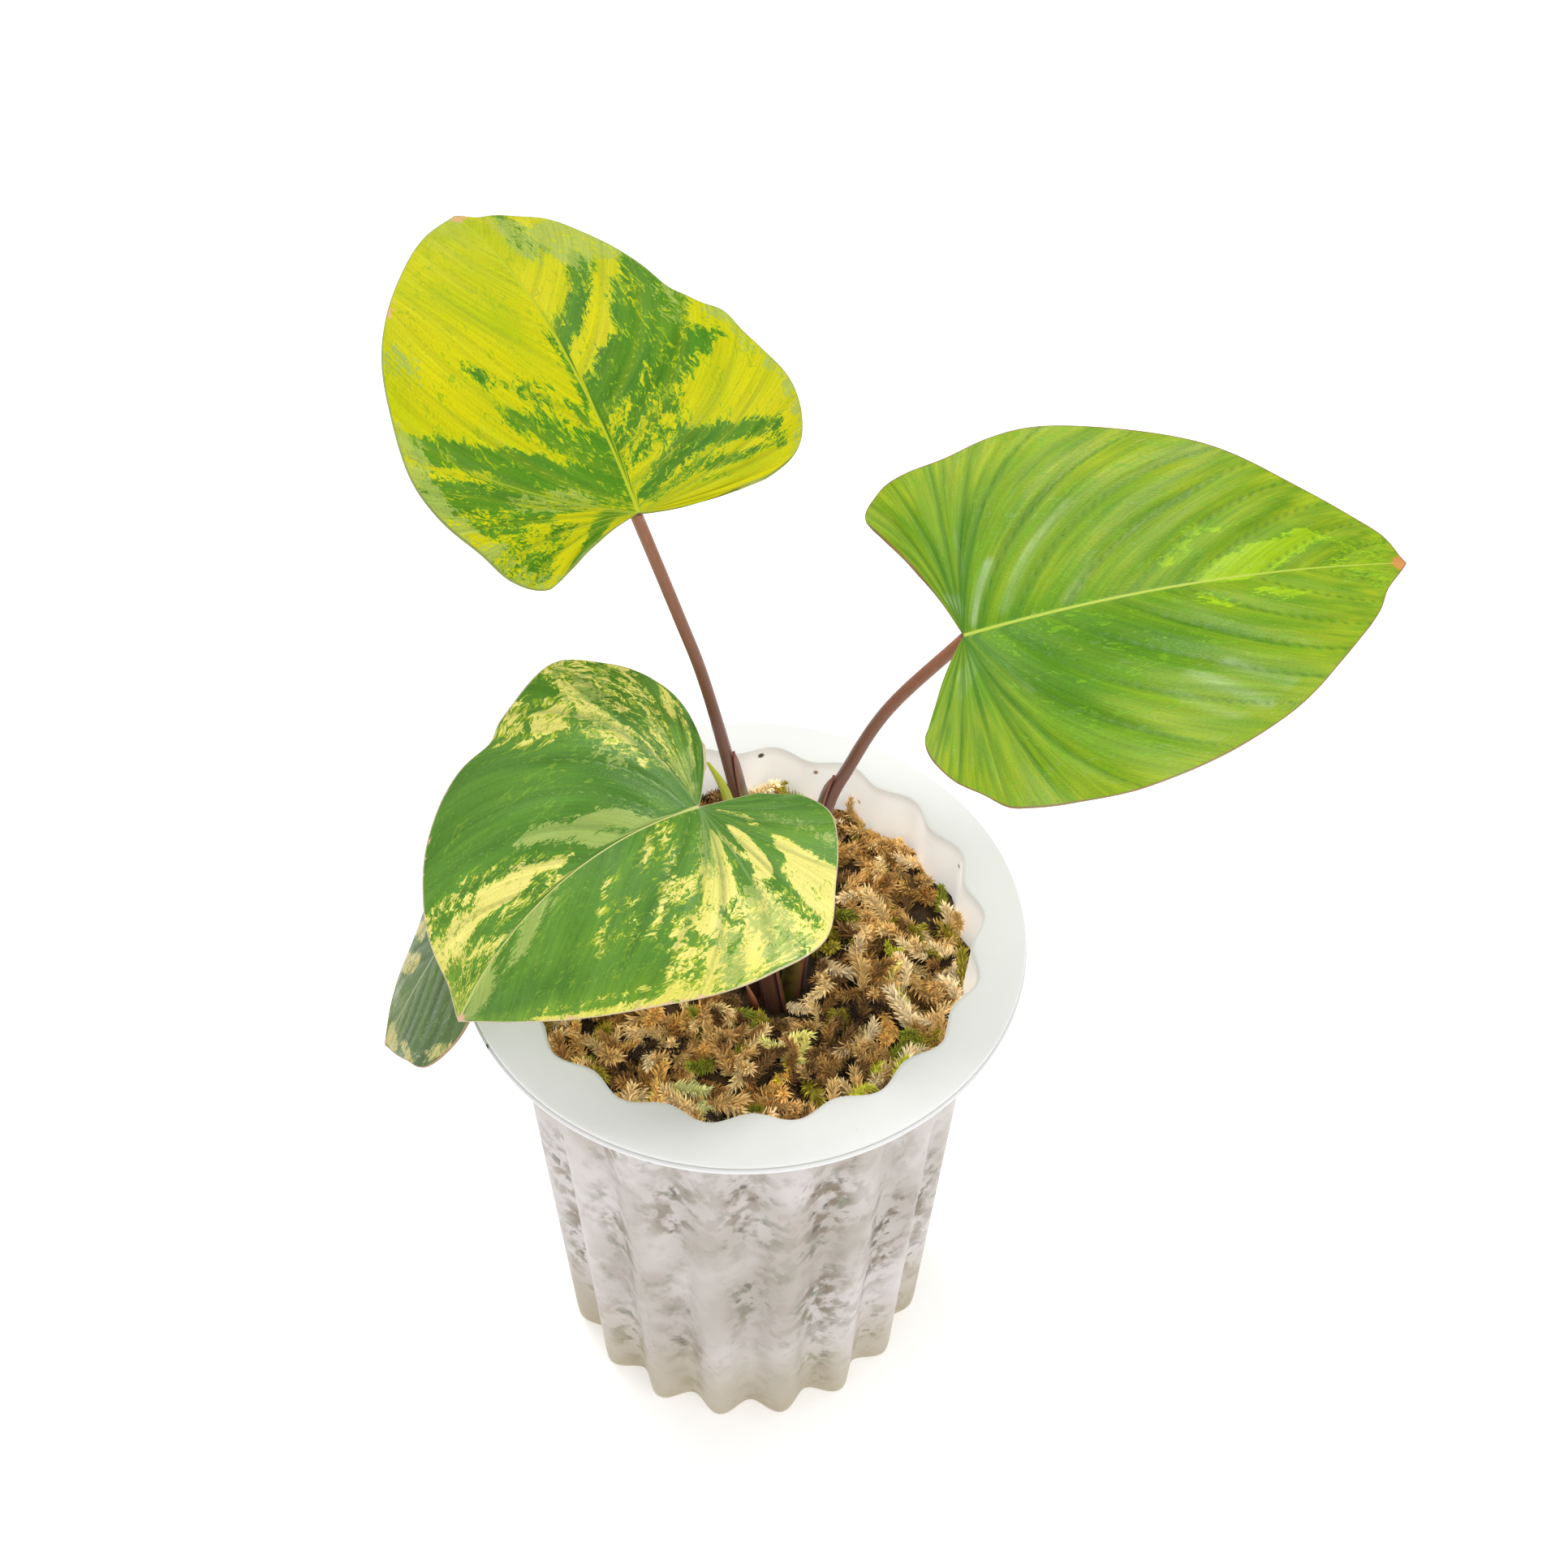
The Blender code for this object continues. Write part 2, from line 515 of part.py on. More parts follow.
def make_blade(key, parts, material):
    """A heart-shaped blade: a grid that follows the veins, bent, then given its thickness."""
    leaf = LEAVES[key]
    edges = {1: edge_curve(leaf, 1), -1: edge_curve(leaf, -1)}
    table = midrib_table(leaf)
    bm = bmesh.new()
    bmesh.ops.create_grid(bm, x_segments=2 * BLADE_COLUMNS, y_segments=BLADE_ROWS, size=1)
    for vert in bm.verts:
        share, row = abs(vert.co.x), (vert.co.y + 1) / 2
        side = -1 if vert.co.x > 1e-6 else 1
        flat = vein_point(leaf, edges[side], side, row, share)
        vert.co = Vector(bend_point(leaf, table, flat, row, share)) * MM
    bmesh.ops.remove_doubles(bm, verts=bm.verts, dist=0.00002)
    bmesh.ops.triangulate(bm, faces=bm.faces)
    blade = finish_object(f"blade_{key}", bm, material, parts, 60)
    up = Vector(leaf_axes(leaf)[2])
    if sum((face.normal.dot(up) for face in blade.data.polygons)) < 0:
        blade.data.flip_normals()
    shell = blade.modifiers.new("thickness", "SOLIDIFY")
    shell.thickness = BLADE * MM
    shell.offset = -1


def build():
    clear_scene()
    parts = new_collection("potted homalomena")
    cutters = new_collection("cutters")
    make_pot(parts, cutters)
    make_moss(parts, cutters)
    make_crown(parts)
    stalk_skin = principled("stalk", (.26, .10, .07), .45)
    greens = {"back": (.50, .60, .03), "right": (.14, .36, .04), "front": (.06, .22, .04),
              "left": (.16, .28, .10)}
    for key in LEAVES:
        make_stalk(key, parts, stalk_skin)
        make_blade(key, parts, principled(f"leaf {key}", greens[key], .4))
    loft("new_shoot", tapered_rings(SHOOT_PATH, SHOOT_RADII, 8, 1.0, (1, 0, 0)),
         principled("shoot", (.47, .48, .05), .4), parts)
    loft("scale_leaf", tapered_rings(SCALE_PATH, SCALE_RADII, 8, SCALE_FLAT, (1, 1, 0)),
         principled("scale leaf", (.66, .28, .18), .5), parts)


build()
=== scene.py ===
# Variegated homalomena: four heart-shaped leaves and a rolled shoot, rooted in moss in a fluted
# clear-white nursery pot. Sizes in the dictionaries are in millimetres and degrees.
import math
import random

import bpy
import numpy as np
from mathutils import Matrix, Vector


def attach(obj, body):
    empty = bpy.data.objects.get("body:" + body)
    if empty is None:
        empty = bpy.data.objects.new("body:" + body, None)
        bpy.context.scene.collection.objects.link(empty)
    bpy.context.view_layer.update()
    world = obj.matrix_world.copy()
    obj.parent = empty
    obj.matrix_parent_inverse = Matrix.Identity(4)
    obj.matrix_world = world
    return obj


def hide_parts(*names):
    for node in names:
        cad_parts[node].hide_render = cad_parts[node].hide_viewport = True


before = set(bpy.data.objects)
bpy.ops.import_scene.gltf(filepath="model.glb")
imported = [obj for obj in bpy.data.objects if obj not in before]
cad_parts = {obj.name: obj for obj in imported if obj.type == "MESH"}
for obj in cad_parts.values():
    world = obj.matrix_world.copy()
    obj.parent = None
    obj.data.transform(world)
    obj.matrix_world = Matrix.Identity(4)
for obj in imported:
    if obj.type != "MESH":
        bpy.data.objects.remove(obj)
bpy.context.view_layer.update()        # bodies, nodes, joints, record
mm = 0.001


def deselectAll():
    if bpy.context.object and bpy.context.object.mode != "OBJECT":
        bpy.ops.object.mode_set(mode="OBJECT")
    bpy.ops.object.select_all(action="DESELECT")


def pickOnly(piece):
    deselectAll()
    piece.select_set(True)
    bpy.context.view_layer.objects.active = piece


def linearColour(hexCode):
    values = [int(hexCode[place:place + 2], 16) / 255 for place in (1, 3, 5)]
    return [v / 12.92 if v <= 0.04045 else ((v + 0.055) / 1.055) ** 2.4 for v in values] + [1.0]


def applySettings(tree, node, settings):        # a setting is a property, an input's value or a socket
    for name, value in settings.items():
        if isinstance(name, str) and name not in node.inputs:
            setattr(node, name, value)
        elif isinstance(value, bpy.types.NodeSocket):
            tree.links.new(value, node.inputs[name])
        else:
            node.inputs[name].default_value = value


def addNode(tree, kind, settings, output=0):
    node = tree.nodes.new("ShaderNode" + kind)
    applySettings(tree, node, settings)
    return node.outputs[output]


def layerColour(tree, colour, field, ramp, over, shape="SMOOTHSTEP"):
    names = ("From Min", "From Max", "To Min", "To Max")        # the field's two ends, and the cover at each
    cover = addNode(tree, "MapRange", {"interpolation_type": shape, "Value": field, **dict(zip(names, ramp))})
    return addNode(tree, "MixRGB", {"Fac": cover, "Color1": colour, "Color2": over})


def newMaterial(name):
    material = bpy.data.materials.new(name)
    material.use_nodes = True
    return material, material.node_tree


def setSurface(material, settings):
    applySettings(material.node_tree, material.node_tree.nodes["Principled BSDF"], settings)
    return material


def finishPiece(piece, slot, *nodes):
    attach(piece, "root")
    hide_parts(*nodes)
    return piece


def turnPair(a, b, angle):        # turns two unit vectors in the plane that they span
    return a * np.cos(angle) + b * np.sin(angle), b * np.cos(angle) - a * np.sin(angle)


def evenTurns(count):        # the angles of points spaced evenly round a ring
    return np.arange(count) * 2 * np.pi / count


def smoothCurve(points, steps):        # passes through all the points
    knots = np.asarray(points, float)
    knots = np.vstack([2 * knots[0] - knots[1], knots, 2 * knots[-1] - knots[-2]])
    out = []
    for a, b, c, d in zip(knots, knots[1:], knots[2:], knots[3:]):
        for t in np.arange(steps) / steps:
            out.append(0.5 * (2 * b + (c - a) * t + (2 * a - 5 * b + 4 * c - d) * t ** 2
                              + (3 * b - a - 3 * c + d) * t ** 3))
    out.append(knots[-2])
    return np.array(out)


def ringFrames(path, side):        # unit vectors across a path, the first of them towards side
    tangents = np.gradient(path, axis=0)
    tangents = tangents / np.linalg.norm(tangents, axis=1)[:, None]
    side = np.asarray(side, float)
    across = side - tangents * (tangents @ side)[:, None]
    across = across / np.linalg.norm(across, axis=1)[:, None]
    return across, np.cross(tangents, across)


def ringsRound(path, side, reach, sides, flat=1.0):        # a ring of points round each point of a path
    across, third = ringFrames(path, side)
    around = evenTurns(sides)
    return (path[:, None] + across[:, None] * (flat * reach * np.cos(around))[..., None]
            + third[:, None] * (reach * np.sin(around))[..., None])


def gridPiece(name, across, along):        # a flat grid, with each vertex's column and row
    deselectAll()
    bpy.ops.mesh.primitive_grid_add(x_subdivisions=across, y_subdivisions=along, size=2)
    piece = bpy.context.object
    piece.name = name
    flat = np.zeros(len(piece.data.vertices) * 3)
    piece.data.vertices.foreach_get("co", flat)
    flat = flat.reshape(-1, 3)
    column = np.rint((flat[:, 0] + 1) / 2 * across).astype(int)
    row = np.rint((flat[:, 1] + 1) / 2 * along).astype(int)
    return piece, column, row


def placeVertices(piece, places):        # places in mm
    piece.data.vertices.foreach_set("co", (np.asarray(places) * mm).ravel())
    piece.data.update()


def pointValue(piece, name, values):        # one value for all the vertices, or one for each
    layer = piece.data.attributes.get(name) or piece.data.attributes.new(name, "FLOAT", "POINT")
    layer.data.foreach_set("value", np.broadcast_to(np.float32(values), len(piece.data.vertices)).copy())


def cornerValues(piece, name, values, isMap=False):        # kept apart where corners meet in one point
    mesh = piece.data
    corner = np.zeros(len(mesh.loops), int)
    mesh.loops.foreach_get("vertex_index", corner)
    values = np.asarray(values, np.float32)[corner]
    if isMap:
        mesh.uv_layers.new(name=name).data.foreach_set("uv", values.ravel())
    else:
        mesh.attributes.new(name, "FLOAT", "CORNER").data.foreach_set("value", values)


def closeSeams(piece, distance=0.00001, fillEnds=False):
    pickOnly(piece)
    bpy.ops.object.mode_set(mode="EDIT")
    bpy.ops.mesh.select_all(action="SELECT")
    bpy.ops.mesh.remove_doubles(threshold=distance)
    if fillEnds:
        bpy.ops.mesh.select_all(action="DESELECT")
        bpy.ops.mesh.select_mode(type="EDGE")
        bpy.ops.mesh.select_non_manifold()
        bpy.ops.mesh.fill()
        bpy.ops.mesh.select_mode(type="VERT")
    bpy.ops.mesh.select_all(action="SELECT")
    bpy.ops.mesh.normals_make_consistent(inside=False)
    bpy.ops.object.mode_set(mode="OBJECT")


def shadeSmooth(piece, degrees):
    pickOnly(piece)
    bpy.ops.object.shade_smooth_by_angle(angle=math.radians(degrees))


def applyModifier(piece, kind, settings):
    pickOnly(piece)
    modifier = piece.modifiers.new(kind.lower(), kind)
    for name, value in settings.items():
        setattr(modifier, name, value)
    bpy.ops.object.modifier_apply(modifier=modifier.name)


def joinPieces(pieces, name):
    deselectAll()
    for piece in pieces:
        piece.select_set(True)
    bpy.context.view_layer.objects.active = pieces[0]
    bpy.ops.object.join()
    bpy.context.object.name = name
    return bpy.context.object


def tubePiece(name, rings):        # a closed skin over rings of points, with a map round and along it
    count, sides = len(rings), len(rings[0])
    piece, column, row = gridPiece(name, sides, count - 1)
    placeVertices(piece, rings[row, column % sides])
    cornerValues(piece, "wrap", np.stack([column / sides, row / (count - 1)], 1), True)
    closeSeams(piece, fillEnds=True)
    shadeSmooth(piece, 50)
    return piece


# Camera: looks down on the pot from the front, 51 degrees above the rim
viewer = {"target": (0, 0, 172), "distance": 583.91, "height": 51.361, "turn": 1.071, "tilt": 3.681,
          "roll": -0.234, "focal": 50.311, "sensor": 36.0}


def makeCamera():
    height, turn, tilt, roll = (math.radians(viewer[key]) for key in ("height", "turn", "tilt", "roll"))
    place = Vector((0, -math.cos(height), math.sin(height))) * viewer["distance"]
    forward = -place.normalized()
    right = Vector((1, 0, 0))
    up = right.cross(forward)
    forward, right = turnPair(forward, right, turn)
    forward, up = turnPair(forward, up, tilt)
    right, up = turnPair(right, up, roll)
    lens = bpy.data.cameras.new("view")
    lens.lens = viewer["focal"]
    lens.sensor_width = viewer["sensor"]
    camera = bpy.data.objects.new("view", lens)
    bpy.context.scene.collection.objects.link(camera)
    turned = Matrix((right, up, -forward)).transposed().to_4x4()
    camera.matrix_world = Matrix.Translation((place + Vector(viewer["target"])) * mm) @ turned
    bpy.context.scene.camera = camera


# Studio: a white paper floor under three soft lamps and a bright sky. Its sizes are in metres.
studio = {"floorSize": 6.0, "floorColour": "#FFFFFF", "floorGlow": 0.35, "skyColour": "#FFFFFF",
          "skyLevel": 0.58, "aim": (0, 0, 0.17),        # where the lamps point
          "lamps": {"key": {"place": (-0.6, 0.8, 1.5), "size": 0.9, "watts": 9},
                    "top": {"place": (0.38, 0.14, 1.6), "size": 0.35, "watts": 6.5},
                    "fill": {"place": (0.5, -1.1, 1.3), "size": 1.2, "watts": 5}}}


def makeStudio():
    world = bpy.data.worlds.new("sky")
    world.use_nodes = True
    sky = {"Color": linearColour(studio["skyColour"]), "Strength": studio["skyLevel"]}
    applySettings(world.node_tree, world.node_tree.nodes["Background"], sky)
    bpy.context.scene.world = world
    for name, lamp in studio["lamps"].items():
        light = bpy.data.lights.new(name, "AREA")
        light.size = lamp["size"]
        light.energy = lamp["watts"]
        holder = bpy.data.objects.new(name, light)
        bpy.context.scene.collection.objects.link(holder)
        holder.location = lamp["place"]
        aim = Vector(studio["aim"]) - Vector(lamp["place"])
        holder.rotation_euler = aim.to_track_quat("-Z", "Y").to_euler()
    deselectAll()
    bpy.ops.mesh.primitive_plane_add(size=studio["floorSize"])
    floor = bpy.context.object
    floor.name = "floor"
    paper = linearColour(studio["floorColour"])
    material = newMaterial("white_paper")[0]        # seamless backdrop paper, matt and evenly lit
    setSurface(material, {"Base Color": paper, "Roughness": 0.9, "Emission Color": paper,
                          "Emission Strength": studio["floorGlow"]})
    floor.data.materials.append(material)


makeCamera()
makeStudio()
bpy.context.scene.view_settings.view_transform = "Standard"
print("camera and studio are up")

# Leaves. Each blade is laid out flat as a heart round its joint with the stalk: radii run from the tip
# round each side to the end of the lobe, at the shares of the lobe's angle in outlineShares. It is then
# bent: droop, lobeDroop, arch, twist and sweep are degrees per 100 mm.
blade = {
    "thickness": 0.7, "rows": 150, "columns": 46, "outlineSteps": 8,
    "outlineShares": (0, .07, .16, .26, .38, .5, .62, .73, .83, .92, 1.0),
    "lobeEnd": (0.35, 0.62),        # a side's last point: share of the turn to the inner edge, of the radius
    "bumpRise": 4,        # how fast dents and bulges grow away from the tip
    "mainVeins": (12, 24, 37, 51, 63, 73, 83, 92, 101, 110, 119, 128, 137),        # the rows that they follow
    "veinLean": ((0, .25, .5, .6, .75, .9, 1), (0, -.02, .03, .09, .14, .09, .03)),
    "veinBend": np.array([0.32, 0.62]),        # a vein bows: its middle knot, as shares of its reach
    "backVein": 60, "backBend": 0.54, "lastTurn": 178,        # past 60 degrees veins bow towards the lobe
    "lastVein": 65, "startPower": 1.8,        # past 65 degrees veins start at the joint itself
    "spine": (-60, 140), "tipCalm": 6,        # mm of midrib that is bent, and how fast waves fade at the tip
    "pleat": {"power": 0.6, "mean": 0.6, "perSpacing": 0.1, "fades": (4, 6, 8, 9)},
    "ribWidth": (0.95, 0.35),        # at the joint and at the tip
    "ribHeight": 0.9, "ribReach": 1.1, "offRib": 9.0,        # the last stands for no midrib near
    "weld": 0.00003,        # metres
    # painted veins look further off, so fainter, in the lobes, at the tip and at the edge
    "fades": {"lobe": ((.38, .5), (1.4, 0)), "tip": ((.78, .92), (0, 1.2)), "edge": ((.65, .95), (0, 0.8))}}

# The blade's skin. A layer is: field, its low and high end, the cover at each, colour. Noise is scaled
# by rows along the margin and shares across both halves: on the back leaf 17, 52, 190 and 330 rows
# are 9, 3, 0.8 and 0.5 mm.
leafSkin = {
    "strokeAcross": 100.0, "strokeAlong": 45.0,        # mm that rows and shares from 0 to 1 count as
    "softness": {"warm": 12.0, "pale": 3.0, "scorch": 0.8, "sheen": 3.5},        # mm over which a stroke ends
    "grain": {"drift": (17, 4), "streak": (52, 5), "hair": (190, 5), "cell": (330, 210)},
    "grainShift": (7.3, 3.1),
    "wander": (40, 24), "wanderCells": (30, 24),
    "tears": ((60, 30, .34), (160, 100, .36), (330, 220, .3)),        # cells of 3, 1 and 0.5 mm
    "tearSpread": 1.9, "tearEnds": (0.05, 0.95), "tearShift": (11, 5),
    "driftEnds": (0.35, 0.65), "warmGain": (2.2, -0.4), "lushGain": (1.3, 0.75),
    "fine": {"base": 0.48, "hair": 0.6, "cell": 0.44},
    "patches": (("tone", -0.2, -0.1, 0.0, 0.8, "mid"), ("tone", -0.06, 0.0, 0.0, 1.0, "lime"),
                ("tone", 0.07, 0.13, 0.0, 1.0, "yellow"), ("pale", -0.08, 0.06, 0.0, 0.8, "pale"),
                # the veinGap layer with the shade colour is painted shade in the sunk vein grooves, and the
                # sheen layer is a painted highlight
                ("sheen", 0.05, 0.6, 0.0, 0.7, "pale"), ("veinGap", 0.3, 2.4, "groove", 0.0, "shade"),
                ("veinGap", 0.12, 0.45, "veinShow", 0.0, "vein")),
    "lines": (("ribGap", 0.7, 1.15, 1.0, 0.0, "rib"), ("scorch", -0.05, 0.05, 0.0, 1.0, "scorch"),
              ("edgeGap", 0.16, 0.4, 0.85, 0.0, "margin")),
    "underside": "#A9C08E", "undersideCover": 0.45, "polish": {False: (0.3, 0.4), True: (0.55, 0.65)}}

# A stroke of colour follows the veins: (amount, half width in mm, [(share of the vein, row), ...]),
# where a share below 0 is on the leaf's left, the margin is at 1, and rows run from 0 at the lobe to 1
# at the tip. A bump is (place along the radii, rise, reach). A pair of values is for left and right.
leaves = {
    "back": {
        "joint": (-23.5, 15.3, 302.2), "heading": 111.4, "rise": 23.0, "roll": 4.5,
        "droop": 31.5, "lobeDroop": 23.5, "arch": (-2, 24), "fold": (13.4, 11.0), "twist": -3.4, "sweep": 4.6,
        "lobe": (119.5, 90.0), "inner": (110, 103), "wave": (1.0, 3.0, 1.3), "pleat": 0.5,
        "bumps": ((), ((.3, -.02, .25), (1.5, .028, .4), (3.45, -.027, .35), (4.6, .035, .4))),
        "left": (118.6, 103, 87.4, 75, 65, 57.8, 52.9, 47.8, 42.1, 38.4, 31.3),
        "right": (118.6, 104, 86.3, 70.5, 61.6, 57.6, 53.1, 50.6, 47.0, 41.3, 30.8),
        "slot": "leaf_yellow", "name": "waxy_yellow_leaf",
        "colours": {"dark": "#2E6A0C", "darkLight": "#417C14", "mid": "#729E20", "lime": "#9CB00C",
                    "bright": "#CAC302", "brightLight": "#A4B402", "pale": "#9CB050", "warm": "#7C9E24",
                    "shade": "#7C9212", "vein": "#A0B232", "rib": "#B4C22C", "margin": "#8E9A50",
                    "scorch": "#E0A67E"},
        "groove": 0.3, "veinShow": 0.8, "gloss": 0.1,
        "base": {"tone": 0.95, "pale": 0.0, "warm": 0.35, "scorch": 0.0}, "ragged": 3.0,
        "strokes": {
            "tone": [
                (.3, .8, [(-.62, .70), (-.2, .70)]), (.12, 1.7, [(-.42, .657), (-.2, .655), (-.04, .645)]),
                (.2, 1.0, [(-.3, .672), (-.1, .668)]), (.15, 1.2, [(-.28, .64), (-.08, .63)]),
                (.35, 1.2, [(-.25, .70), (-.02, .69)]), (.4, 1.4, [(-.03, .78), (-.01, .70)]),
                (.42, 5.5, [(-.8, .37), (-.5, .40), (-.3, .44)]),
                (.38, 6.0, [(-.45, .47), (-.3, .52), (-.1, .56)]),
                (.1, 4.2, [(-.92, .415), (-.75, .435), (-.55, .48), (-.45, .53)]),
                (.35, 3.0, [(-.8, .36), (-.55, .38), (-.35, .42)]),
                (.05, 3.0, [(-.9, .51), (-.62, .55), (-.45, .575), (-.1, .59)]),
                (.75, 1.5, [(-.92, .478), (-.72, .495), (-.62, .515)]),
                (.2, 3.2, [(-.82, .33), (-.65, .32), (-.5, .34)]), (.9, 1.4, [(-.6, .31), (-.5, .3)]),
                (.5, 5.0, [(-.95, .22), (-.7, .25)]), (.45, 3.0, [(-.9, .14), (-.6, .2), (-.45, .28)]),
                (.3, 2.6, [(-.52, .22), (-.42, .28)]), (.35, 1.6, [(-.6, .17), (-.85, .18)]),
                (.85, 2.0, [(-.5, .15), (-.35, .22), (-.25, .33), (-.15, .45)]),
                (.05, 3.6, [(-1, .01), (-.6, .045), (-.35, .11), (-.15, .28), (-.08, .42)]),
                (.35, 1.2, [(.28, .845), (.5, .85)]), (.28, 1.8, [(.3, .872), (.5, .885), (.62, .89)]),
                (.22, 1.4, [(.5, .905), (.8, .925), (1, .945)]),
                (.05, 2.0, [(.01, .715), (.2, .738), (.4, .765), (.55, .79), (.66, .795)]),
                (.04, 4.6, [(.0, .632), (.2, .642), (.45, .648), (.7, .67)]),
                (.06, 3.0, [(.35, .61), (.6, .60), (.78, .595)]),
                (.08, 4.4, [(.5, .69), (.75, .70), (.95, .72)]), (.3, 3.0, [(.8, .655), (1, .675)]),
                (.45, 1.3, [(.6, .71), (.78, .73)]), (.4, 1.0, [(.3, .62), (.5, .625)]),
                (.4, 3.2, [(.03, .58), (.2, .585), (.38, .565)]),
                (.45, 2.0, [(.03, .54), (.2, .545), (.35, .53)]),
                (.4, 1.0, [(.38, .572), (.6, .578), (.85, .565)]),
                (.92, 1.5, [(.04, .69), (.3, .715), (.5, .745), (.75, .775)]),
                (.06, 2.5, [(.07, .445), (.2, .475), (.32, .485), (.46, .455), (.6, .40), (.7, .355),
                            (.8, .315)]),
                (.42, 2.6, [(.12, .41), (.3, .415), (.42, .385)]),
                (.28, 2.4, [(.4, .36), (.52, .32), (.62, .28)]),
                (.35, 1.3, [(.62, .30), (.75, .265), (.87, .24)]), (.4, 1.5, [(.7, .33), (.85, .26)]),
                (.6, 1.4, [(.1, .37), (.3, .32), (.5, .24)])],
            "pale": [
                (.75, 5.0, [(.55, .84), (.8, .83), (1, .81)]), (.6, 4.0, [(.3, .865), (.7, .93)]),
                (.45, 3.0, [(.8, .66), (1, .68)]), (.7, 4.0, [(-.97, .12), (-.97, .5)]),
                (.5, 3.0, [(-.45, .4), (-.25, .5)]), (.5, 2.0, [(-.95, .66), (-.86, .66)]),
                (.45, 5.0, [(-.5, .42), (-.35, .46), (-.25, .52)]), (.55, 2.5, [(.98, .2), (.98, .6)]),
                (.45, 3.0, [(-.9, .3), (-.97, .1)])],
            "warm": [
                (1.0, 8.0, [(-.9, .97), (.3, .97)]), (.8, 4.0, [(-.7, .82), (-.3, .80)]),
                (.8, 3.0, [(.02, .93), (.2, .88)]), (.7, 3.0, [(-.6, .89), (-.2, .86)]),
                (.7, 3.0, [(-.75, .57), (-.5, .6)]), (.6, 4.0, [(-.95, .6), (-.95, .8)]),
                (.6, 3.0, [(.5, .46), (.9, .42)]), (.7, 4.0, [(.3, .3), (.7, .2)])],
            "scorch": [(.5, 1.0, [(-1, .74), (-1, .82)]), (.6, 1.2, [(-1, .99), (1, .99)])]}},
    "right": {
        "joint": (51.5, 4.8, 273.7), "heading": 8.6, "rise": 14.3, "roll": 15.7,
        "droop": 24.0, "lobeDroop": 6.5, "arch": (21, 27), "fold": (10.3, 11.4), "twist": 2.0, "sweep": -1.0,
        "lobe": (112, 120.5), "inner": (103, 128), "wave": (0.8, 4.0, 0.4), "pleat": 0.95,
        "bumps": (((.5, .014, .3),), ((.55, -.014, .3), (2.5, .008, .6), (7.35, .022, .35))),
        "left": (111.5, 99.5, 85.4, 74.6, 65, 57.4, 51.2, 46.7, 44.5, 43.1, 38.4),
        "right": (111.5, 99, 85.9, 75.8, 65.9, 58.4, 51.8, 48.3, 42.2, 36.9, 30.2),
        "slot": "leaf_green", "name": "waxy_green_leaf",
        # this leaf's pale colour also paints its sheen highlights
        "colours": {"dark": "#447F04", "darkLight": "#5F960C", "mid": "#74A614", "lime": "#8CB80E",
                    "bright": "#A8CA12", "brightLight": "#98BE0C", "pale": "#B4CF9C", "warm": "#9DB218",
                    "shade": "#3E7008", "vein": "#447C14", "rib": "#B4C845", "margin": "#8E6A48",
                    "scorch": "#D9904E"},
        "groove": 0.45, "veinShow": 0.8, "gloss": 0.26,
        "base": {"tone": 0.0, "pale": 0.0, "warm": 0.6, "scorch": 0.0, "sheen": 0.0}, "ragged": 1.2,
        "strokes": {
            "tone": [
                (1.0, 1.6, [(-.49, .892), (-.3, .873), (-.1, .858), (0, .845)]),
                (1.0, 1.6, [(-.27, .852), (-.15, .835), (-.02, .82)]),
                (1.0, 1.0, [(-.15, .818), (-.02, .803)]),
                (.7, .8, [(-.4, .785), (-.25, .772), (-.15, .765)]),
                (.5, .8, [(-.46, .815), (-.38, .805)]), (.85, 1.1, [(.17, .850), (.31, .873)]),
                (.95, .6, [(.08, .803), (.24, .814)]), (.3, 1.5, [(-.5, .93), (.4, .93)]),
                (.35, 1.6, [(-1, .955), (1, .955)])],
            "pale": [],
            # painted sheen: streaks of highlight painted near the joint and along the pleats
            "sheen": [
                (.9, 1.1, [(-.05, .535), (-.28, .553)]), (.8, 1.3, [(-.1, .49), (-.2, .33)]),
                (.7, .8, [(-.06, .597), (-.3, .617), (-.55, .643)]), (.6, .6, [(-.04, .675), (-.25, .69)]),
                (.4, 2.0, [(-.3, .45), (-.5, .4)]), (.4, 2.0, [(-.15, .2), (-.25, .08)]),
                (.8, .9, [(.58, .755), (.88, .772)]), (.7, .9, [(.55, .722), (.9, .735)]),
                (.5, .9, [(.6, .69), (.88, .70)]), (.5, .8, [(.05, .565), (.35, .57)]),
                (.4, 3.0, [(.1, .46), (.25, .3), (.4, .22)]), (.4, .8, [(.1, .78), (.5, .80)]),
                (.35, 1.2, [(.3, .5), (.6, .5)]), (.7, 2.0, [(-.1, .42), (-.16, .3), (-.22, .15)]),
                (.45, 2.5, [(.12, .44), (.2, .32), (.3, .2)])],
            "warm": [
                (.95, 7.0, [(-.96, .12), (-.96, .95)]), (.85, 8.0, [(-.75, .62), (-.7, .9)]),
                (.7, 5.0, [(-.55, .70), (-.3, .67)]), (.15, 6.0, [(-.5, .46), (-.15, .47)]),
                (.25, 6.0, [(-.6, .25), (-.2, .3)]), (.65, 3.0, [(-.85, .35), (-.6, .31)]),
                (.15, 7.0, [(.08, .62), (.3, .62), (.5, .6)]), (.15, 5.0, [(.1, .70), (.4, .735)]),
                (.2, 7.0, [(.1, .45), (.3, .35)]), (.95, 6.0, [(.97, .15), (.98, .9)]),
                (.8, 5.0, [(.6, .36), (.9, .38)]), (.65, 3.0, [(.6, .66), (.9, .68)]),
                (.8, 4.0, [(.7, .93), (.9, .9)]), (.95, 5.0, [(-.9, .97), (.9, .97)]),
                (.8, 4.0, [(-.6, .93), (0, .94)])],
            "scorch": [(.95, 1.0, [(-1, .995), (1, .995)])]}},
    "front": {
        "joint": (-10.7, -12.2, 233.0), "heading": -157.1, "rise": 3.5, "roll": -8.3,
        "droop": 74.0, "lobeDroop": 4.5, "arch": (29, -4), "fold": (7.5, 10.3), "twist": -3.0, "sweep": 37.0,
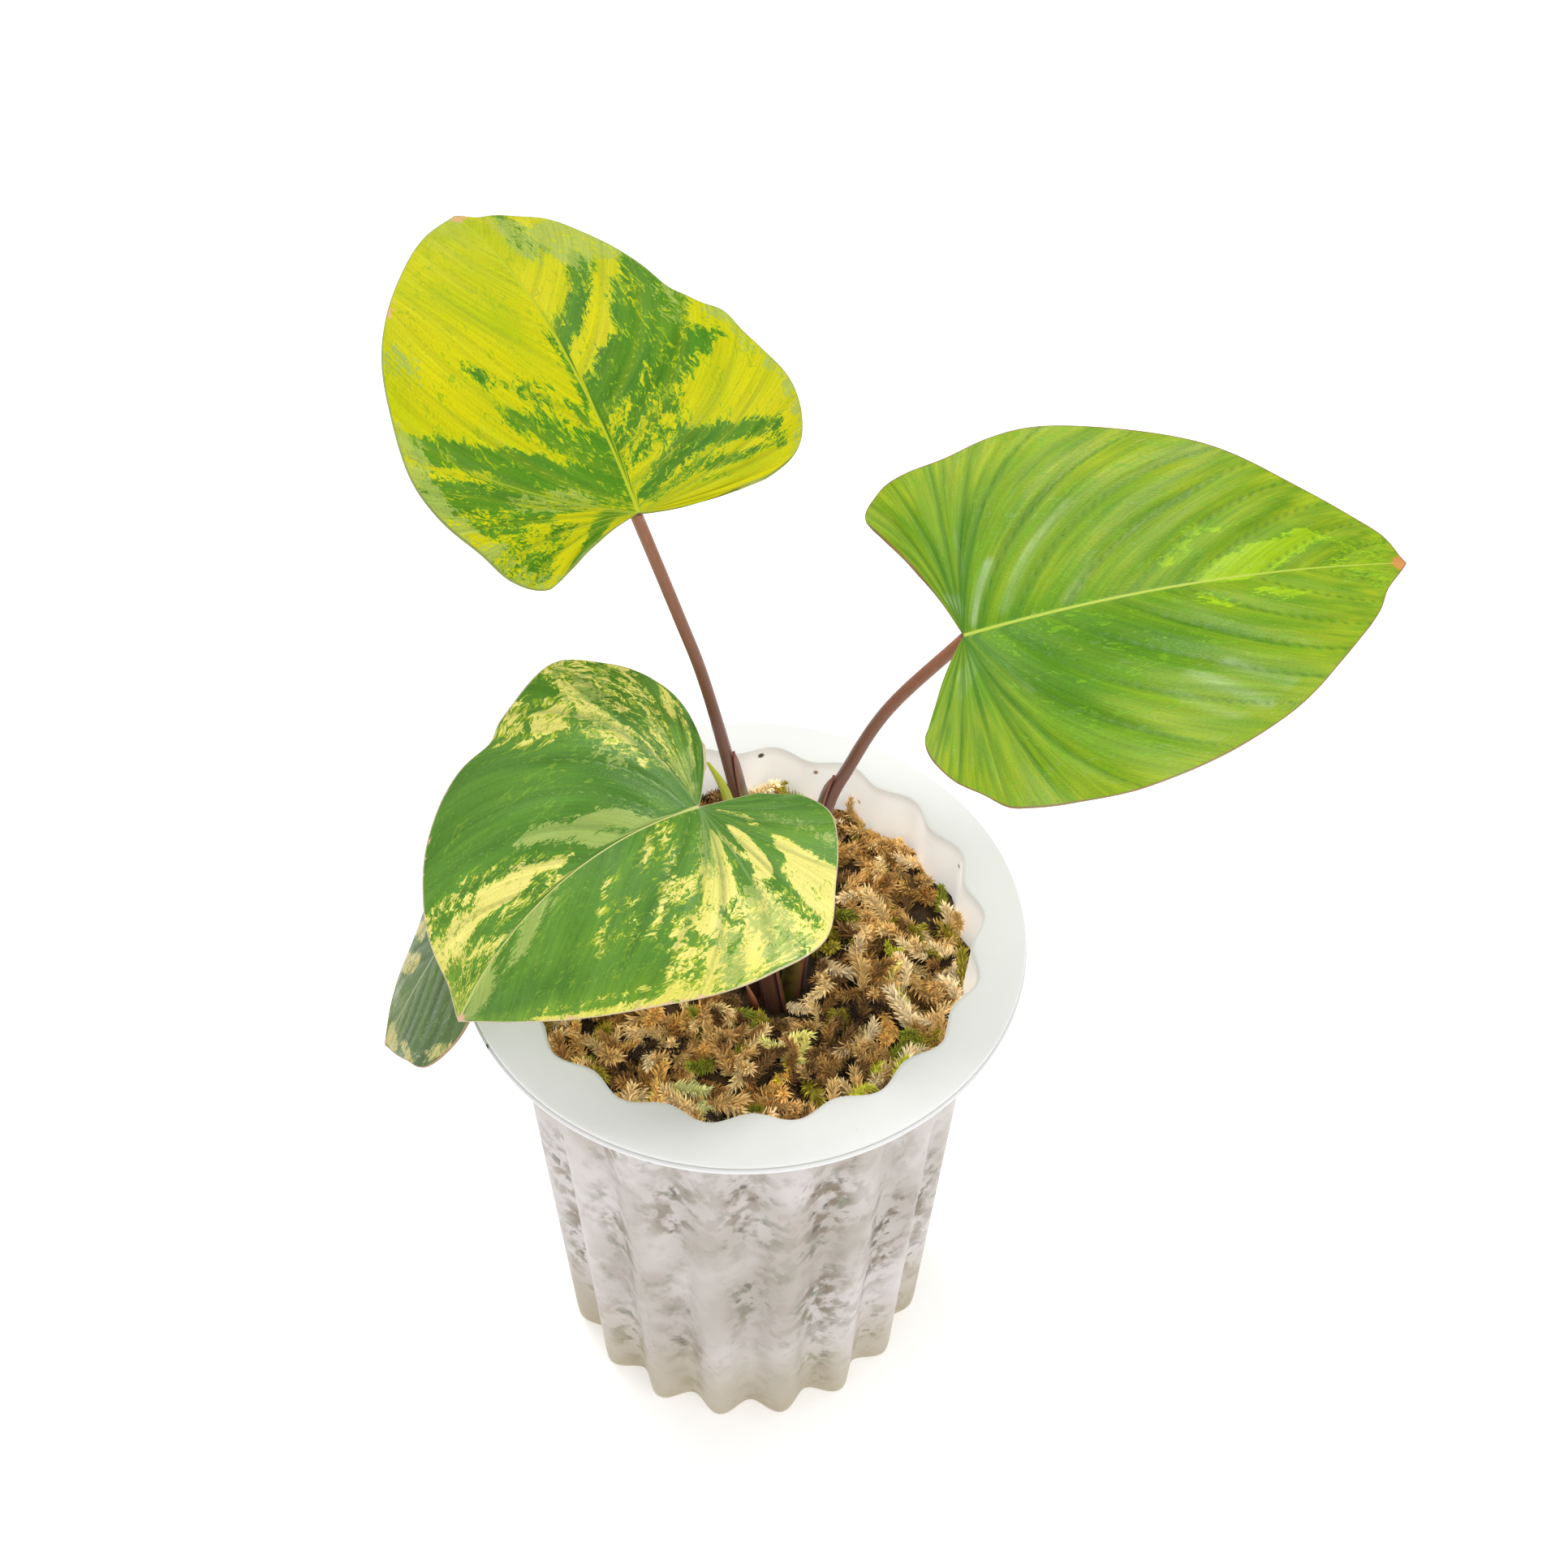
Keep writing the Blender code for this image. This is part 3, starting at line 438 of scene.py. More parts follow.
        "lobe": (172, 113), "inner": (189, 123), "wave": (0.8, 3.5, 2.1), "pleat": 0.75,
        "bumps": ((), ((.6, -.015, .4), (3.7, .01, .4), (4.5, -.042, .3), (6.4, .045, .4),
                       (7.7, -.022, .45))),
        "left": (83.2, 72.7, 63.5, 56.6, 51.8, 49.4, 47.4, 38.7, 34.6, 31.4, 24.7),
        "right": (83.2, 73.9, 67.5, 61.9, 54.3, 50.2, 50.5, 42.9, 34.4, 27.1, 17.6),
        "slot": "leaf_cream", "name": "waxy_cream_and_green_leaf",
        "colours": {"dark": "#4A7D26", "darkLight": "#629536", "mid": "#7DA636", "lime": "#B2C530",
                    "bright": "#F7EC86", "brightLight": "#E6E15C", "pale": "#AEC266", "warm": "#80AC2C",
                    "shade": "#3E6C1E", "vein": "#8BAB66", "rib": "#D9DB8C", "margin": "#DCCBA8",
                    "scorch": "#F2C2A0"},
        "groove": 0.3, "veinShow": 0.7, "gloss": 0.36,
        "base": {"tone": 0.0, "pale": 0.0, "warm": 0.15, "scorch": 0.0}, "ragged": 2.0,
        "strokes": {
            "tone": [
                (.5, 8.0, [(-1, .57), (-.6, .57)]), (.45, 3.0, [(-.95, .46), (-.55, .47)]),
                (.4, .9, [(-.62, .803), (-.2, .80)]), (.35, .9, [(-.6, .765), (-.36, .765)]),
                (.5, .9, [(-.65, .735), (-.3, .715), (0, .725)]), (.35, .8, [(-.3, .75), (-.05, .745)]),
                (.5, 3.6, [(-.95, .685), (-.7, .67), (-.42, .68)]),
                (.25, 1.5, [(-.5, .655), (-.25, .655)]),
                (.75, 2.6, [(-.92, .635), (-.7, .62), (-.5, .63)]), (.95, 2.2, [(-.5, .63), (-.35, .64)]),
                (1.0, 3.6, [(-.48, .585), (-.35, .575), (-.22, .56)]),
                (.5, 2.0, [(-.9, .59), (-.6, .585)]), (1.0, 2.9, [(-.88, .565), (-.7, .53), (-.53, .495)]),
                (.5, 2.0, [(-1, .54), (-.88, .50)]), (.1, 1.5, [(-.55, .52), (-.35, .50), (-.22, .51)]),
                (.6, 1.6, [(-.35, .475), (-.2, .5)]), (.3, 2.2, [(-.9, .465), (-.7, .46), (-.52, .47)]),
                (1.0, 3.9, [(-1, .375), (-.8, .36), (-.62, .345)]),
                (.95, 1.8, [(-1, .42), (-.75, .41), (-.62, .40)]),
                (1.0, 1.3, [(-.64, .315), (-.54, .307)]),
                (1.0, 3.5, [(-.48, .445), (-.4, .42), (-.28, .39)]),
                (.9, 1.5, [(-1, .455), (-.85, .47), (-.72, .49)]), (.05, 1.6, [(-.60, .378), (-.5, .365)]),
                (.0, 4.6, [(-1, .235), (-.6, .24), (-.4, .27)]),
                (.5, 1.8, [(-.38, .27), (-.32, .22), (-.15, .2)]),
                (.85, 1.4, [(-.98, .62), (-.98, .75), (-.985, .88)]), (.35, 1.0, [(-.9, .72), (-.9, .88)]),
                (.42, 4.0, [(0, .965), (.5, .955), (.9, .95)]),
                (.38, 3.2, [(.03, .9), (.3, .915), (.5, .93)]), (.1, 1.4, [(.55, .93), (.78, .925)]),
                (.6, 1.2, [(.05, .875), (.3, .885), (.5, .9)]), (.45, 2.0, [(.04, .79), (.2, .85)]),
                (1.0, 1.3, [(.1, .755), (.25, .777)]),
                (1.0, 3.3, [(.25, .79), (.4, .82), (.5, .845), (.65, .865)]),
                (.85, 2.8, [(.6, .875), (.8, .885), (1, .90)]),
                (.45, 1.6, [(.55, .825), (.75, .825), (.97, .845)]),
                (.35, .9, [(.2, .755), (.4, .785), (.7, .80)]),
                (.4, 4.6, [(.25, .42), (.55, .40), (.95, .42)]),
                (.45, 3.2, [(.3, .34), (.6, .35), (.95, .36)]),
                (.52, 3.6, [(.28, .49), (.5, .50), (.75, .52), (1, .54)]),
                (.8, 1.5, [(.45, .505), (.65, .495), (.88, .465)]), (.6, 2.0, [(.75, .575), (.95, .58)]),
                (.4, 1.0, [(.3, .545), (.6, .542)]), (.65, 1.5, [(.2, .42), (.4, .40)]),
                (.12, 2.4, [(.5, .28), (.72, .27)]), (.75, 2.3, [(.75, .275), (.92, .265)]),
                (.45, 2.2, [(.45, .2), (.7, .2), (.9, .23)]), (.1, 3.0, [(.4, .1), (.8, .13)]),
                (.6, 1.2, [(.06, .46), (.1, .36), (.16, .26)]), (.4, 2.0, [(.15, .45), (.22, .32)])],
            "pale": [
                (1.0, 2.4, [(-.03, .95), (-.3, .96), (-.6, .985)]),
                (.9, 1.2, [(-.55, .985), (-.85, .995)]), (1.0, 1.4, [(0, .865), (-.12, .88), (-.3, .905)]),
                (1.0, 1.5, [(.04, .70), (.2, .71), (.42, .738)]),
                (1.0, 2.0, [(.03, .655), (.1, .665), (.2, .69)]),
                (.6, 3.0, [(-.35, .62), (-.2, .64), (-.12, .62)]), (.55, 4.0, [(-.9, .5), (-.6, .52)]),
                (.6, 2.5, [(-.95, .6), (-.75, .6)]), (.7, 4.0, [(.15, .4), (.3, .28), (.45, .2)]),
                (.4, 4.0, [(.4, .56), (.9, .42)]), (.5, 3.0, [(.3, .35), (.5, .38)]),
                (.6, 3.0, [(.1, .3), (.2, .15)]), (.35, 2.0, [(-.95, .27), (-.5, .2)])],
            "warm": [
                (.9, 4.0, [(.0, .975), (.6, .96), (.95, .94)]), (.9, 5.0, [(-.95, .7), (-.95, .95)]),
                (.6, 4.0, [(-.5, .65), (-.9, .62)]), (.6, 4.0, [(.4, .3), (.9, .28)]),
                (.6, 4.0, [(-.95, .25), (-.5, .28)]), (.5, 3.0, [(-.6, .8), (-.2, .95)])],
            "scorch": [
                (.95, .9, [(-1, .835), (-1, .875)]), (.5, .6, [(-1, .66), (-1, .99)]),
                (.4, .5, [(1, .6), (1, .99)]), (.9, .8, [(-1, .997), (1, .997)])]}},
    "left": {
        "joint": (-65.0, -6.2, 201.5), "heading": -154.4, "rise": -54.0, "roll": 14.9,
        "droop": 14.5, "lobeDroop": 23.0, "arch": (22, 32), "fold": (3.6, -1.5), "twist": -3.0,
        "sweep": -12.0,
        "lobe": (125, 123), "inner": (118, 118), "wave": (1.0, 2.5, 0.2), "pleat": 0.5, "bumps": ((), ()),
        "left": (67.1, 60.1, 54.1, 51, 43.1, 36.2, 32, 29.5, 27.6, 25.6, 21.4),
        "right": (67.1, 59.5, 52.5, 46.7, 41.1, 36.4, 32.7, 30.1, 27.9, 25.7, 21.3),
        "slot": "leaf_grey", "name": "dull_grey_green_leaf",
        "colours": {"dark": "#405E28", "darkLight": "#577838", "mid": "#7E9650", "lime": "#A8AC5A",
                    "bright": "#D6C881", "brightLight": "#C4BD62", "pale": "#AAB48C", "warm": "#93A552",
                    "shade": "#3E5430", "vein": "#94A680", "rib": "#A9B67C", "margin": "#B98F72",
                    "scorch": "#D8A583"},
        "groove": 0.25, "veinShow": 0.4, "gloss": 0.12,
        "base": {"tone": 0.0, "pale": 0.0, "warm": 0.1, "scorch": 0.0}, "ragged": 1.5,
        "strokes": {
            "tone": [
                (.85, 3.4, [(-.9, .93), (-.3, .975), (.5, .985)]), (.7, 2.0, [(-1, .80), (-.8, .87)]),
                (.8, 2.0, [(.35, .83), (.7, .84), (1, .83)]), (.75, 1.8, [(.55, .775), (1, .76)]),
                (.5, 2.0, [(-1, .66), (-.9, .72)]), (.6, 2.5, [(-.6, .55), (-.3, .58)]),
                (.7, 3.0, [(.4, .45), (.8, .40)]), (.5, 3.0, [(-.8, .3), (-.4, .35)]),
                (.6, 2.0, [(.3, .2), (.8, .15)])],
            "pale": [(.6, 3.0, [(.6, .9), (1, .88)]), (.4, 2.0, [(-.95, .75), (-.95, .85)])],
            "warm": [(.7, 5.0, [(-1, .95), (1, .95)])],
            "scorch": [(.7, .8, [(-1, .996), (1, .996)])]}}}


def leafAxes(leaf):        # along the midrib, to its left, and up from its face, at the joint
    heading, rise, roll = (math.radians(leaf[key]) for key in ("heading", "rise", "roll"))
    along = np.array([math.cos(heading) * math.cos(rise), math.sin(heading) * math.cos(rise), math.sin(rise)])
    level = np.array([-math.sin(heading), math.cos(heading), 0.0])
    left = level * math.cos(roll) + np.cross(along, level) * math.sin(roll)
    return along, left, np.cross(along, left)


def turnOf(flat):        # degrees between flat places and the midrib
    return np.abs(np.degrees(np.arctan2(flat[..., 1], flat[..., 0])))


def leafOutline(leaf, side):        # one side laid out flat, from the tip to the lobe's inner edge
    name, index = ("left", 0) if side > 0 else ("right", 1)
    lobe, inner = leaf["lobe"][index], leaf["inner"][index]
    turnShare, radiusShare = blade["lobeEnd"]
    angles = [share * lobe for share in blade["outlineShares"]] + [lobe + turnShare * (inner - lobe)]
    angles, radii = np.radians(angles), np.array([*leaf[name], leaf[name][-1] * radiusShare])
    flat = np.stack([radii * np.cos(angles), side * radii * np.sin(angles)], 1)
    curve = smoothCurve(flat, blade["outlineSteps"])
    place = np.arange(len(curve))[:, None] / blade["outlineSteps"]
    for where, rise, reach in leaf["bumps"][index]:
        swell = np.exp(-((place - where) / reach) ** 2) * np.minimum(place * blade["bumpRise"], 1)
        curve = curve * (1 + rise * swell)
    return curve


def veinFan(leaf, side, rows, shares):        # flat places for every row and share on one side
    edge = leafOutline(leaf, side)
    last = len(edge) - 1
    turn = int(np.argmax(turnOf(edge) > blade["backVein"]))
    innerRows = blade["outlineSteps"] / last
    first = turnOf(np.abs(edge[turn]) * blade["veinBend"])
    stop = min(leaf["inner"][0 if side > 0 else 1], blade["lastTurn"])

    def fanAt(spot):
        place = (1 - spot) * last
        end = np.stack([np.interp(place, range(last + 1), edge[:, i]) for i in range(2)], -1)
        upRib = leaf["left"][0] * np.clip(1 - turnOf(end) / blade["lastVein"], 0, None) ** blade["startPower"]
        start = np.stack([upRib, 0 * upRib], -1)
        reach = end - start
        way = np.radians(first + (stop - first) * (place - turn) / (last - turn))
        length = np.linalg.norm(reach, axis=-1)[:, None]
        back = length * blade["backBend"] * np.stack([np.cos(way), side * np.sin(way)], -1)
        bend = np.where((place > turn)[:, None], back, reach * blade["veinBend"])
        t = shares[None, :, None]
        return start[:, None] + bend[:, None] * 2 * t * (1 - t) + reach[:, None] * t ** 2

    mix = np.clip(rows / innerRows, 0, 1)[:, None, None]
    return fanAt(np.maximum(rows, innerRows)) * mix + fanAt(0 * rows) * (1 - mix)


def bendBlade(leaf, flat, rows, shares, side):        # takes flat places to the bent, folded and waved blade
    degree = math.radians(1) / 100
    first, last = blade["spine"]
    s = np.arange(first, last + 1)
    pitch = np.where(s > 0, -leaf["droop"] * s, -leaf["lobeDroop"] * s) * degree
    yaw = np.where(s > 0, leaf["sweep"] * s, 0) * degree
    along = np.stack([np.cos(pitch) * np.cos(yaw), np.cos(pitch) * np.sin(yaw), np.sin(pitch)], -1)
    left = np.stack([-np.sin(yaw), np.cos(yaw), 0 * yaw], -1)
    place = np.vstack([np.zeros(3), np.cumsum((along[1:] + along[:-1]) / 2, axis=0)])
    place = place - place[-first]
    at, forward, across = (np.stack([np.interp(flat[..., 0], s, column[:, i]) for i in range(3)], -1)
                           for column in (place, along, left))
    twist = (leaf["twist"] * degree * flat[..., 0])[..., None]
    across, up = turnPair(across, np.cross(forward, across), twist)
    index = 0 if side > 0 else 1
    curl = leaf["arch"][index] * degree
    fold = math.radians(leaf["fold"][index])
    width = np.abs(flat[..., 1])
    out = (math.sin(fold) - np.sin(fold - curl * width)) / curl
    lift = (np.cos(fold - curl * width) - math.cos(fold)) / curl
    swing, waves, phase = leaf["wave"]
    calm = np.minimum(1.0, blade["tipCalm"] * (1 - rows))
    lift = lift + swing * calm * shares ** 3 * np.sin(2 * np.pi * waves * rows + phase + side)
    lift = lift + pleats(leaf, flat, rows, shares)
    local = at + across * (side * out)[..., None] + up * lift[..., None]
    return np.array(leaf["joint"]) + local @ np.stack(leafAxes(leaf), 0)


def veinRows(rows, shares):        # the row at which a place's vein leaves the midrib
    return rows - np.interp(rows, *blade["veinLean"]) * shares


def veinGaps(flat, rows, shares):        # mm from each place to its nearest main vein, and the veins' spacing
    starts = veinRows(rows, shares)
    columns = range(flat.shape[1])
    lines = []
    for vein in blade["mainVeins"]:
        at = np.array([np.interp(vein / blade["rows"], column, range(len(column))) for column in starts.T])
        low = np.minimum(at.astype(int), len(flat) - 2)
        part = (at - low)[:, None]
        lines.append(flat[low, columns] * (1 - part) + flat[low + 1, columns] * part)
    gap = np.min([np.linalg.norm(flat - line[None], axis=-1) for line in lines], axis=0)
    spacing = np.linalg.norm(np.diff(lines, axis=0), axis=-1)
    width = np.stack([np.interp(starts[:, i] * blade["rows"], blade["mainVeins"][1:], spacing[:, i])
                      for i in columns], 1)
    return gap, width


def pleats(leaf, flat, rows, shares):        # the blade bulges between its sunk main veins
    shape = blade["pleat"]
    gap, width = veinGaps(flat, rows, shares)
    swell = np.sin(np.pi * np.clip(gap / np.maximum(width, 0.01), 0, 1)) ** shape["power"]
    lift = np.minimum(leaf["pleat"], shape["perSpacing"] * width) * (swell - shape["mean"])
    for fade, away in zip(shape["fades"], (1 - shares, shares, rows, 1 - rows)):        # flat at its edges
        lift = lift * np.clip(away * fade, 0, 1)
    return lift


def paintStrokes(leaf, kind, share, row):        # share is signed: below 0 on the left
    size = np.array([leafSkin["strokeAlong"], leafSkin["strokeAcross"]])
    soft = leafSkin["softness"].get(kind, leaf["ragged"])
    here = np.stack([share, row], -1) * size
    field = np.full(share.shape, leaf["base"][kind])
    for amount, halfWidth, path in leaf["strokes"][kind]:
        gap = np.full(share.shape, np.inf)
        for start, end in zip(path * size, path[1:] * size):
            step = end - start
            t = np.clip((here - start) @ step / (step @ step), 0, 1)
            gap = np.minimum(gap, np.linalg.norm(here - start - t[..., None] * step, axis=-1))
        cover = np.clip((halfWidth - gap) / soft + 0.5, 0, 1)
        cover = cover * cover * (3 - 2 * cover)
        field = field * (1 - cover) + amount * cover
    return field


def leafFields(tree, veins, grain):        # the painted fields, with torn patches, or a mosaic near one half
    names = ("tone", "pale", "warm", "scorch", "sheen", "edgeGap", "ribGap", "veinGap")
    fields = {name: addNode(tree, "Attribute", {"attribute_name": name}, "Fac") for name in names}
    wander = addNode(tree, "Mapping", {"Vector": veins, "Scale": (*leafSkin["wander"], 1)})
    wander = addNode(tree, "TexNoise", {"Vector": wander, "Scale": 1.0, "Detail": 3.0}, "Color")
    for number, name in enumerate(("tone", "pale", "scorch")):
        shift = [number * step for step in leafSkin["tearShift"]]
        level = 0.5 - 0.5 * leafSkin["tearSpread"]
        for rows, shares, part in leafSkin["tears"]:
            push = (rows / leafSkin["wanderCells"][0], shares / leafSkin["wanderCells"][1], 0)
            moved = addNode(tree, "Mapping", {"Vector": veins, "Scale": (rows, shares, 1),
                                              "Location": (*shift, 0)})
            moved = addNode(tree, "VectorMath", {"operation": "MULTIPLY_ADD", 0: wander, 1: push, 2: moved})
            cells = addNode(tree, "TexVoronoi", {"Vector": moved, "Scale": 1.0}, "Color")
            level = addNode(tree, "Math", {"operation": "MULTIPLY_ADD", 0: cells, 2: level,
                                           1: part * leafSkin["tearSpread"]})
        for bound, kind in zip(leafSkin["tearEnds"], ("MAXIMUM", "MINIMUM")):
            level = addNode(tree, "Math", {"operation": kind, 0: level, 1: bound})
        fields[name] = addNode(tree, "Math", {"operation": "SUBTRACT", 0: fields[name], 1: level})
    # the painted sheen highlight is broken into streaks along the veins
    fields["sheen"] = addNode(tree, "Math", {"operation": "MULTIPLY", 0: fields["sheen"], 1: grain["streak"]})
    return fields


def leafMaterial(leaf, underside):        # live leaf: waxy cuticle with a soft sheen, partly real gloss and partly painted, over layered tissue
    colours = {key: linearColour(code) for key, code in leaf["colours"].items()}
    material, tree = newMaterial(leaf["name"] + ("_underside" if underside else ""))
    veins = addNode(tree, "UVMap", {"uv_map": "veins"})
    grain = {}
    for number, (name, (rows, shares)) in enumerate(leafSkin["grain"].items()):
        shift = [number * step for step in leafSkin["grainShift"]]
        moved = addNode(tree, "Mapping", {"Vector": veins, "Scale": (rows, shares, 1),
                                          "Location": (*shift, 0)})
        grain[name] = addNode(tree, "TexNoise", {"Vector": moved, "Scale": 1.0, "Detail": 2.0})
    fields = leafFields(tree, veins, grain)
    low, high = leafSkin["driftEnds"]
    drift = addNode(tree, "MapRange", {"Value": grain["drift"], "From Min": low, "From Max": high})
    gain, start = leafSkin["warmGain"]
    warm = addNode(tree, "Math", {"operation": "MULTIPLY_ADD", 0: grain["streak"], 1: gain, 2: start})
    warm = addNode(tree, "Math", {"operation": "MULTIPLY", "use_clamp": True, 0: warm, 1: fields["warm"]})
    colour = addNode(tree, "MixRGB", {"Fac": drift, "Color1": colours["dark"],
                                      "Color2": colours["darkLight"]})
    colour = addNode(tree, "MixRGB", {"Fac": warm, "Color1": colour, "Color2": colours["warm"]})
    gain, start = leafSkin["lushGain"]
    lush = addNode(tree, "Math", {"operation": "SUBTRACT", 0: fields["warm"], 1: start})
    lush = addNode(tree, "Math", {"operation": "MULTIPLY_ADD", "use_clamp": True, 0: grain["drift"], 1: gain,
                                  2: lush})
    colours["yellow"] = addNode(tree, "MixRGB", {"Fac": lush, "Color1": colours["bright"],
                                                 "Color2": colours["brightLight"]})
    for field, low, high, start, stop, over in leafSkin["patches"]:
        start = leaf.get(start, start)        # a name stands for the leaf's own value
        colour = layerColour(tree, colour, fields[field], (low, high, start, stop), colours[over])
    fine = leafSkin["fine"]["base"]
    for name in ("hair", "cell"):
        fine = addNode(tree, "Math", {"operation": "MULTIPLY_ADD", 0: grain[name], 1: leafSkin["fine"][name],
                                      2: fine})
    colour = addNode(tree, "MixRGB", {"blend_type": "MULTIPLY", "Fac": 1.0, "Color1": colour,
                                      "Color2": fine})
    for field, *ramp, over in leafSkin["lines"]:
        colour = layerColour(tree, colour, fields[field], ramp, colours[over])
    if underside:        # paler, and dull
        colour = addNode(tree, "MixRGB", {"Fac": leafSkin["undersideCover"], "Color1": colour,
                                          "Color2": linearColour(leafSkin["underside"])})
    low, high = leafSkin["polish"][underside]
    polish = addNode(tree, "MapRange", {"Value": drift, "To Min": low, "To Max": high})
    bump = addNode(tree, "Bump", {"Height": fine, "Strength": 0.35, "Distance": 0.0005})
    return setSurface(material, {"IOR": 1.45, "Specular IOR Level": leaf["gloss"], "Base Color": colour,
                                 "Roughness": polish, "Normal": bump})


def bladeSheet(leaf, side, rows, shares):        # places and fields of one side, by row and share
    flat = veinFan(leaf, side, rows, shares)
    row, share = np.broadcast_to(rows[:, None], flat.shape[:2]), np.broadcast_to(shares, flat.shape[:2])
    toMargin, toInner = (np.linalg.norm(flat - line, axis=-1) for line in (flat[:, -1:], flat[:1]))
    halfRib = np.interp(flat[..., 0], [0, leaf["left"][0]], blade["ribWidth"]) / 2
    return {"place": bendBlade(leaf, flat, row, share, side), "row": row, "share": -side * share,
            "edgeGap": np.minimum(toMargin, toInner), "veinRow": veinRows(row, share),
            "ribGap": np.where(flat[..., 0] >= 0, np.abs(flat[..., 1]) / halfRib, blade["offRib"]),
            "veinGap": veinGaps(flat, row, share)[0]}


def makeBlade(key):
    leaf = leaves[key]
    rowCount, columnCount = blade["rows"], blade["columns"]
    rows, shares = np.linspace(0, 1, rowCount + 1), np.linspace(0, 1, columnCount + 1)
    left, right = (bladeSheet(leaf, side, rows, shares) for side in (1, -1))
    piece, column, row = gridPiece(f"leaf_{key}", 2 * columnCount, rowCount)
    away = np.abs(column - columnCount)
    field = {name: np.where((column <= columnCount).reshape(-1, *[1] * (left[name].ndim - 2)),
                            left[name][row, away], right[name][row, away]) for name in left}
    placeVertices(piece, field["place"])
    cornerValues(piece, "veins", np.stack([field["veinRow"], 0.5 + field["share"] / 2], 1), True)
    fades = blade["fades"]
    faint = 1 + np.interp(field["row"], *fades["lobe"]) + np.interp(field["row"], *fades["tip"])
    field["veinGap"] = field["veinGap"] * (faint + np.interp(abs(field["share"]), *fades["edge"]))
    for name in ("edgeGap", "ribGap", "veinGap"):
        cornerValues(piece, name, field[name])
    for kind in leaf["strokes"]:
        cornerValues(piece, kind, paintStrokes(leaf, kind, field["share"], field["row"]))
    thick = piece.vertex_groups.new(name="thick")        # the midrib stands out under the blade
    ribSwell = np.exp(-(field["ribGap"] / blade["ribReach"]) ** 2) * (1 - field["row"]) ** 0.5
    full = blade["thickness"] + blade["ribHeight"]
    for index, swell in enumerate(ribSwell):
        thick.add([index], (blade["thickness"] + blade["ribHeight"] * swell) / full, "REPLACE")
    pickOnly(piece)
    bpy.ops.object.mode_set(mode="EDIT")
    bpy.ops.mesh.select_all(action="SELECT")
    bpy.ops.mesh.remove_doubles(threshold=blade["weld"])
    bpy.ops.mesh.quads_convert_to_tris()
    bpy.ops.object.mode_set(mode="OBJECT")
    if sum(face.normal.dot(Vector(leafAxes(leaf)[2])) for face in piece.data.polygons) < 0:
        piece.data.flip_normals()
    for underside in (False, True):
        piece.data.materials.append(leafMaterial(leaf, underside))
    applyModifier(piece, "SOLIDIFY", {"thickness": full * mm, "offset": -1, "vertex_group": "thick",
                                      "material_offset": 1})
    shadeSmooth(piece, 60)
    return finishPiece(piece, leaf["slot"], f"blade_{key}")


for leafKey in leaves:
    makeBlade(leafKey)
print("leaves are made")

# Stalks, sheaths, shoot and crown: the same paths as their solids, with finer skins
crown = {"place": (8.4, -5.4), "top": 148.0, "depth": 24.0, "radius": (11.0, 9.0), "stalkCircle": 5.4,
         "gap": 0.3, "rows": 30, "sides": 48, "dark": "#2E1C12", "light": "#6A4630"}
stalks = {
    "back": {"foot": 92, "radius": (2.3, 1.5), "sheath": (-20, 1.5, 232),
             "via": [(5.6, 3.4, 180), (-2.2, 8, 219.2), (-9.3, 11, 252.5), (-15.1, 13, 272.3)]},
    "right": {"foot": 8, "radius": (2.5, 1.6), "sheath": (190, 1.8, 232),
              "via": [(16.4, -3.4, 180), (20.5, -1, 217.5), (25.8, 0, 233.5), (35.1, 2, 252.5)]},
    "front": {"foot": 272, "radius": (2.3, 1.5), "sheath": (60, 1.2, 196),
              "via": [(3.4, -11, 182), (-4.4, -11.5, 208)]},
    "left": {"foot": 180, "radius": (2.2, 1.4), "sheath": (90, 1.2, 176),
             "via": [(1.4, -4.6, 166), (-5, -3.6, 184), (-21, -3.2, 203), (-42, -4.6, 211),
                     (-57, -5.6, 207)]}}
stalkSkin = {"sides": 24, "step": 2.5,
             "endGap": 0.3, "ends": (0.9, 1.5), "closing": (1.0, 0.85, 0.4),        # at the blade
             "sheathThickness": 0.45, "sheathWrap": 95.0, "sheathColumns": 20, "sheathGap": 0.25,
             "sheathInset": 0.7,
             "foot": "#563728", "middle": "#754A36", "top": "#9A6240", "edge": "#96564A", "inside": "#74702A"}


def evenPath(points, step):
    path = smoothCurve(points, 12)
    length = np.concatenate([[0], np.cumsum(np.linalg.norm(np.diff(path, axis=0), axis=1))])
    places = np.linspace(0, length[-1], max(6, int(length[-1] / step) + 1))
    return np.stack([np.interp(places, length, path[:, i]) for i in range(3)], 1)


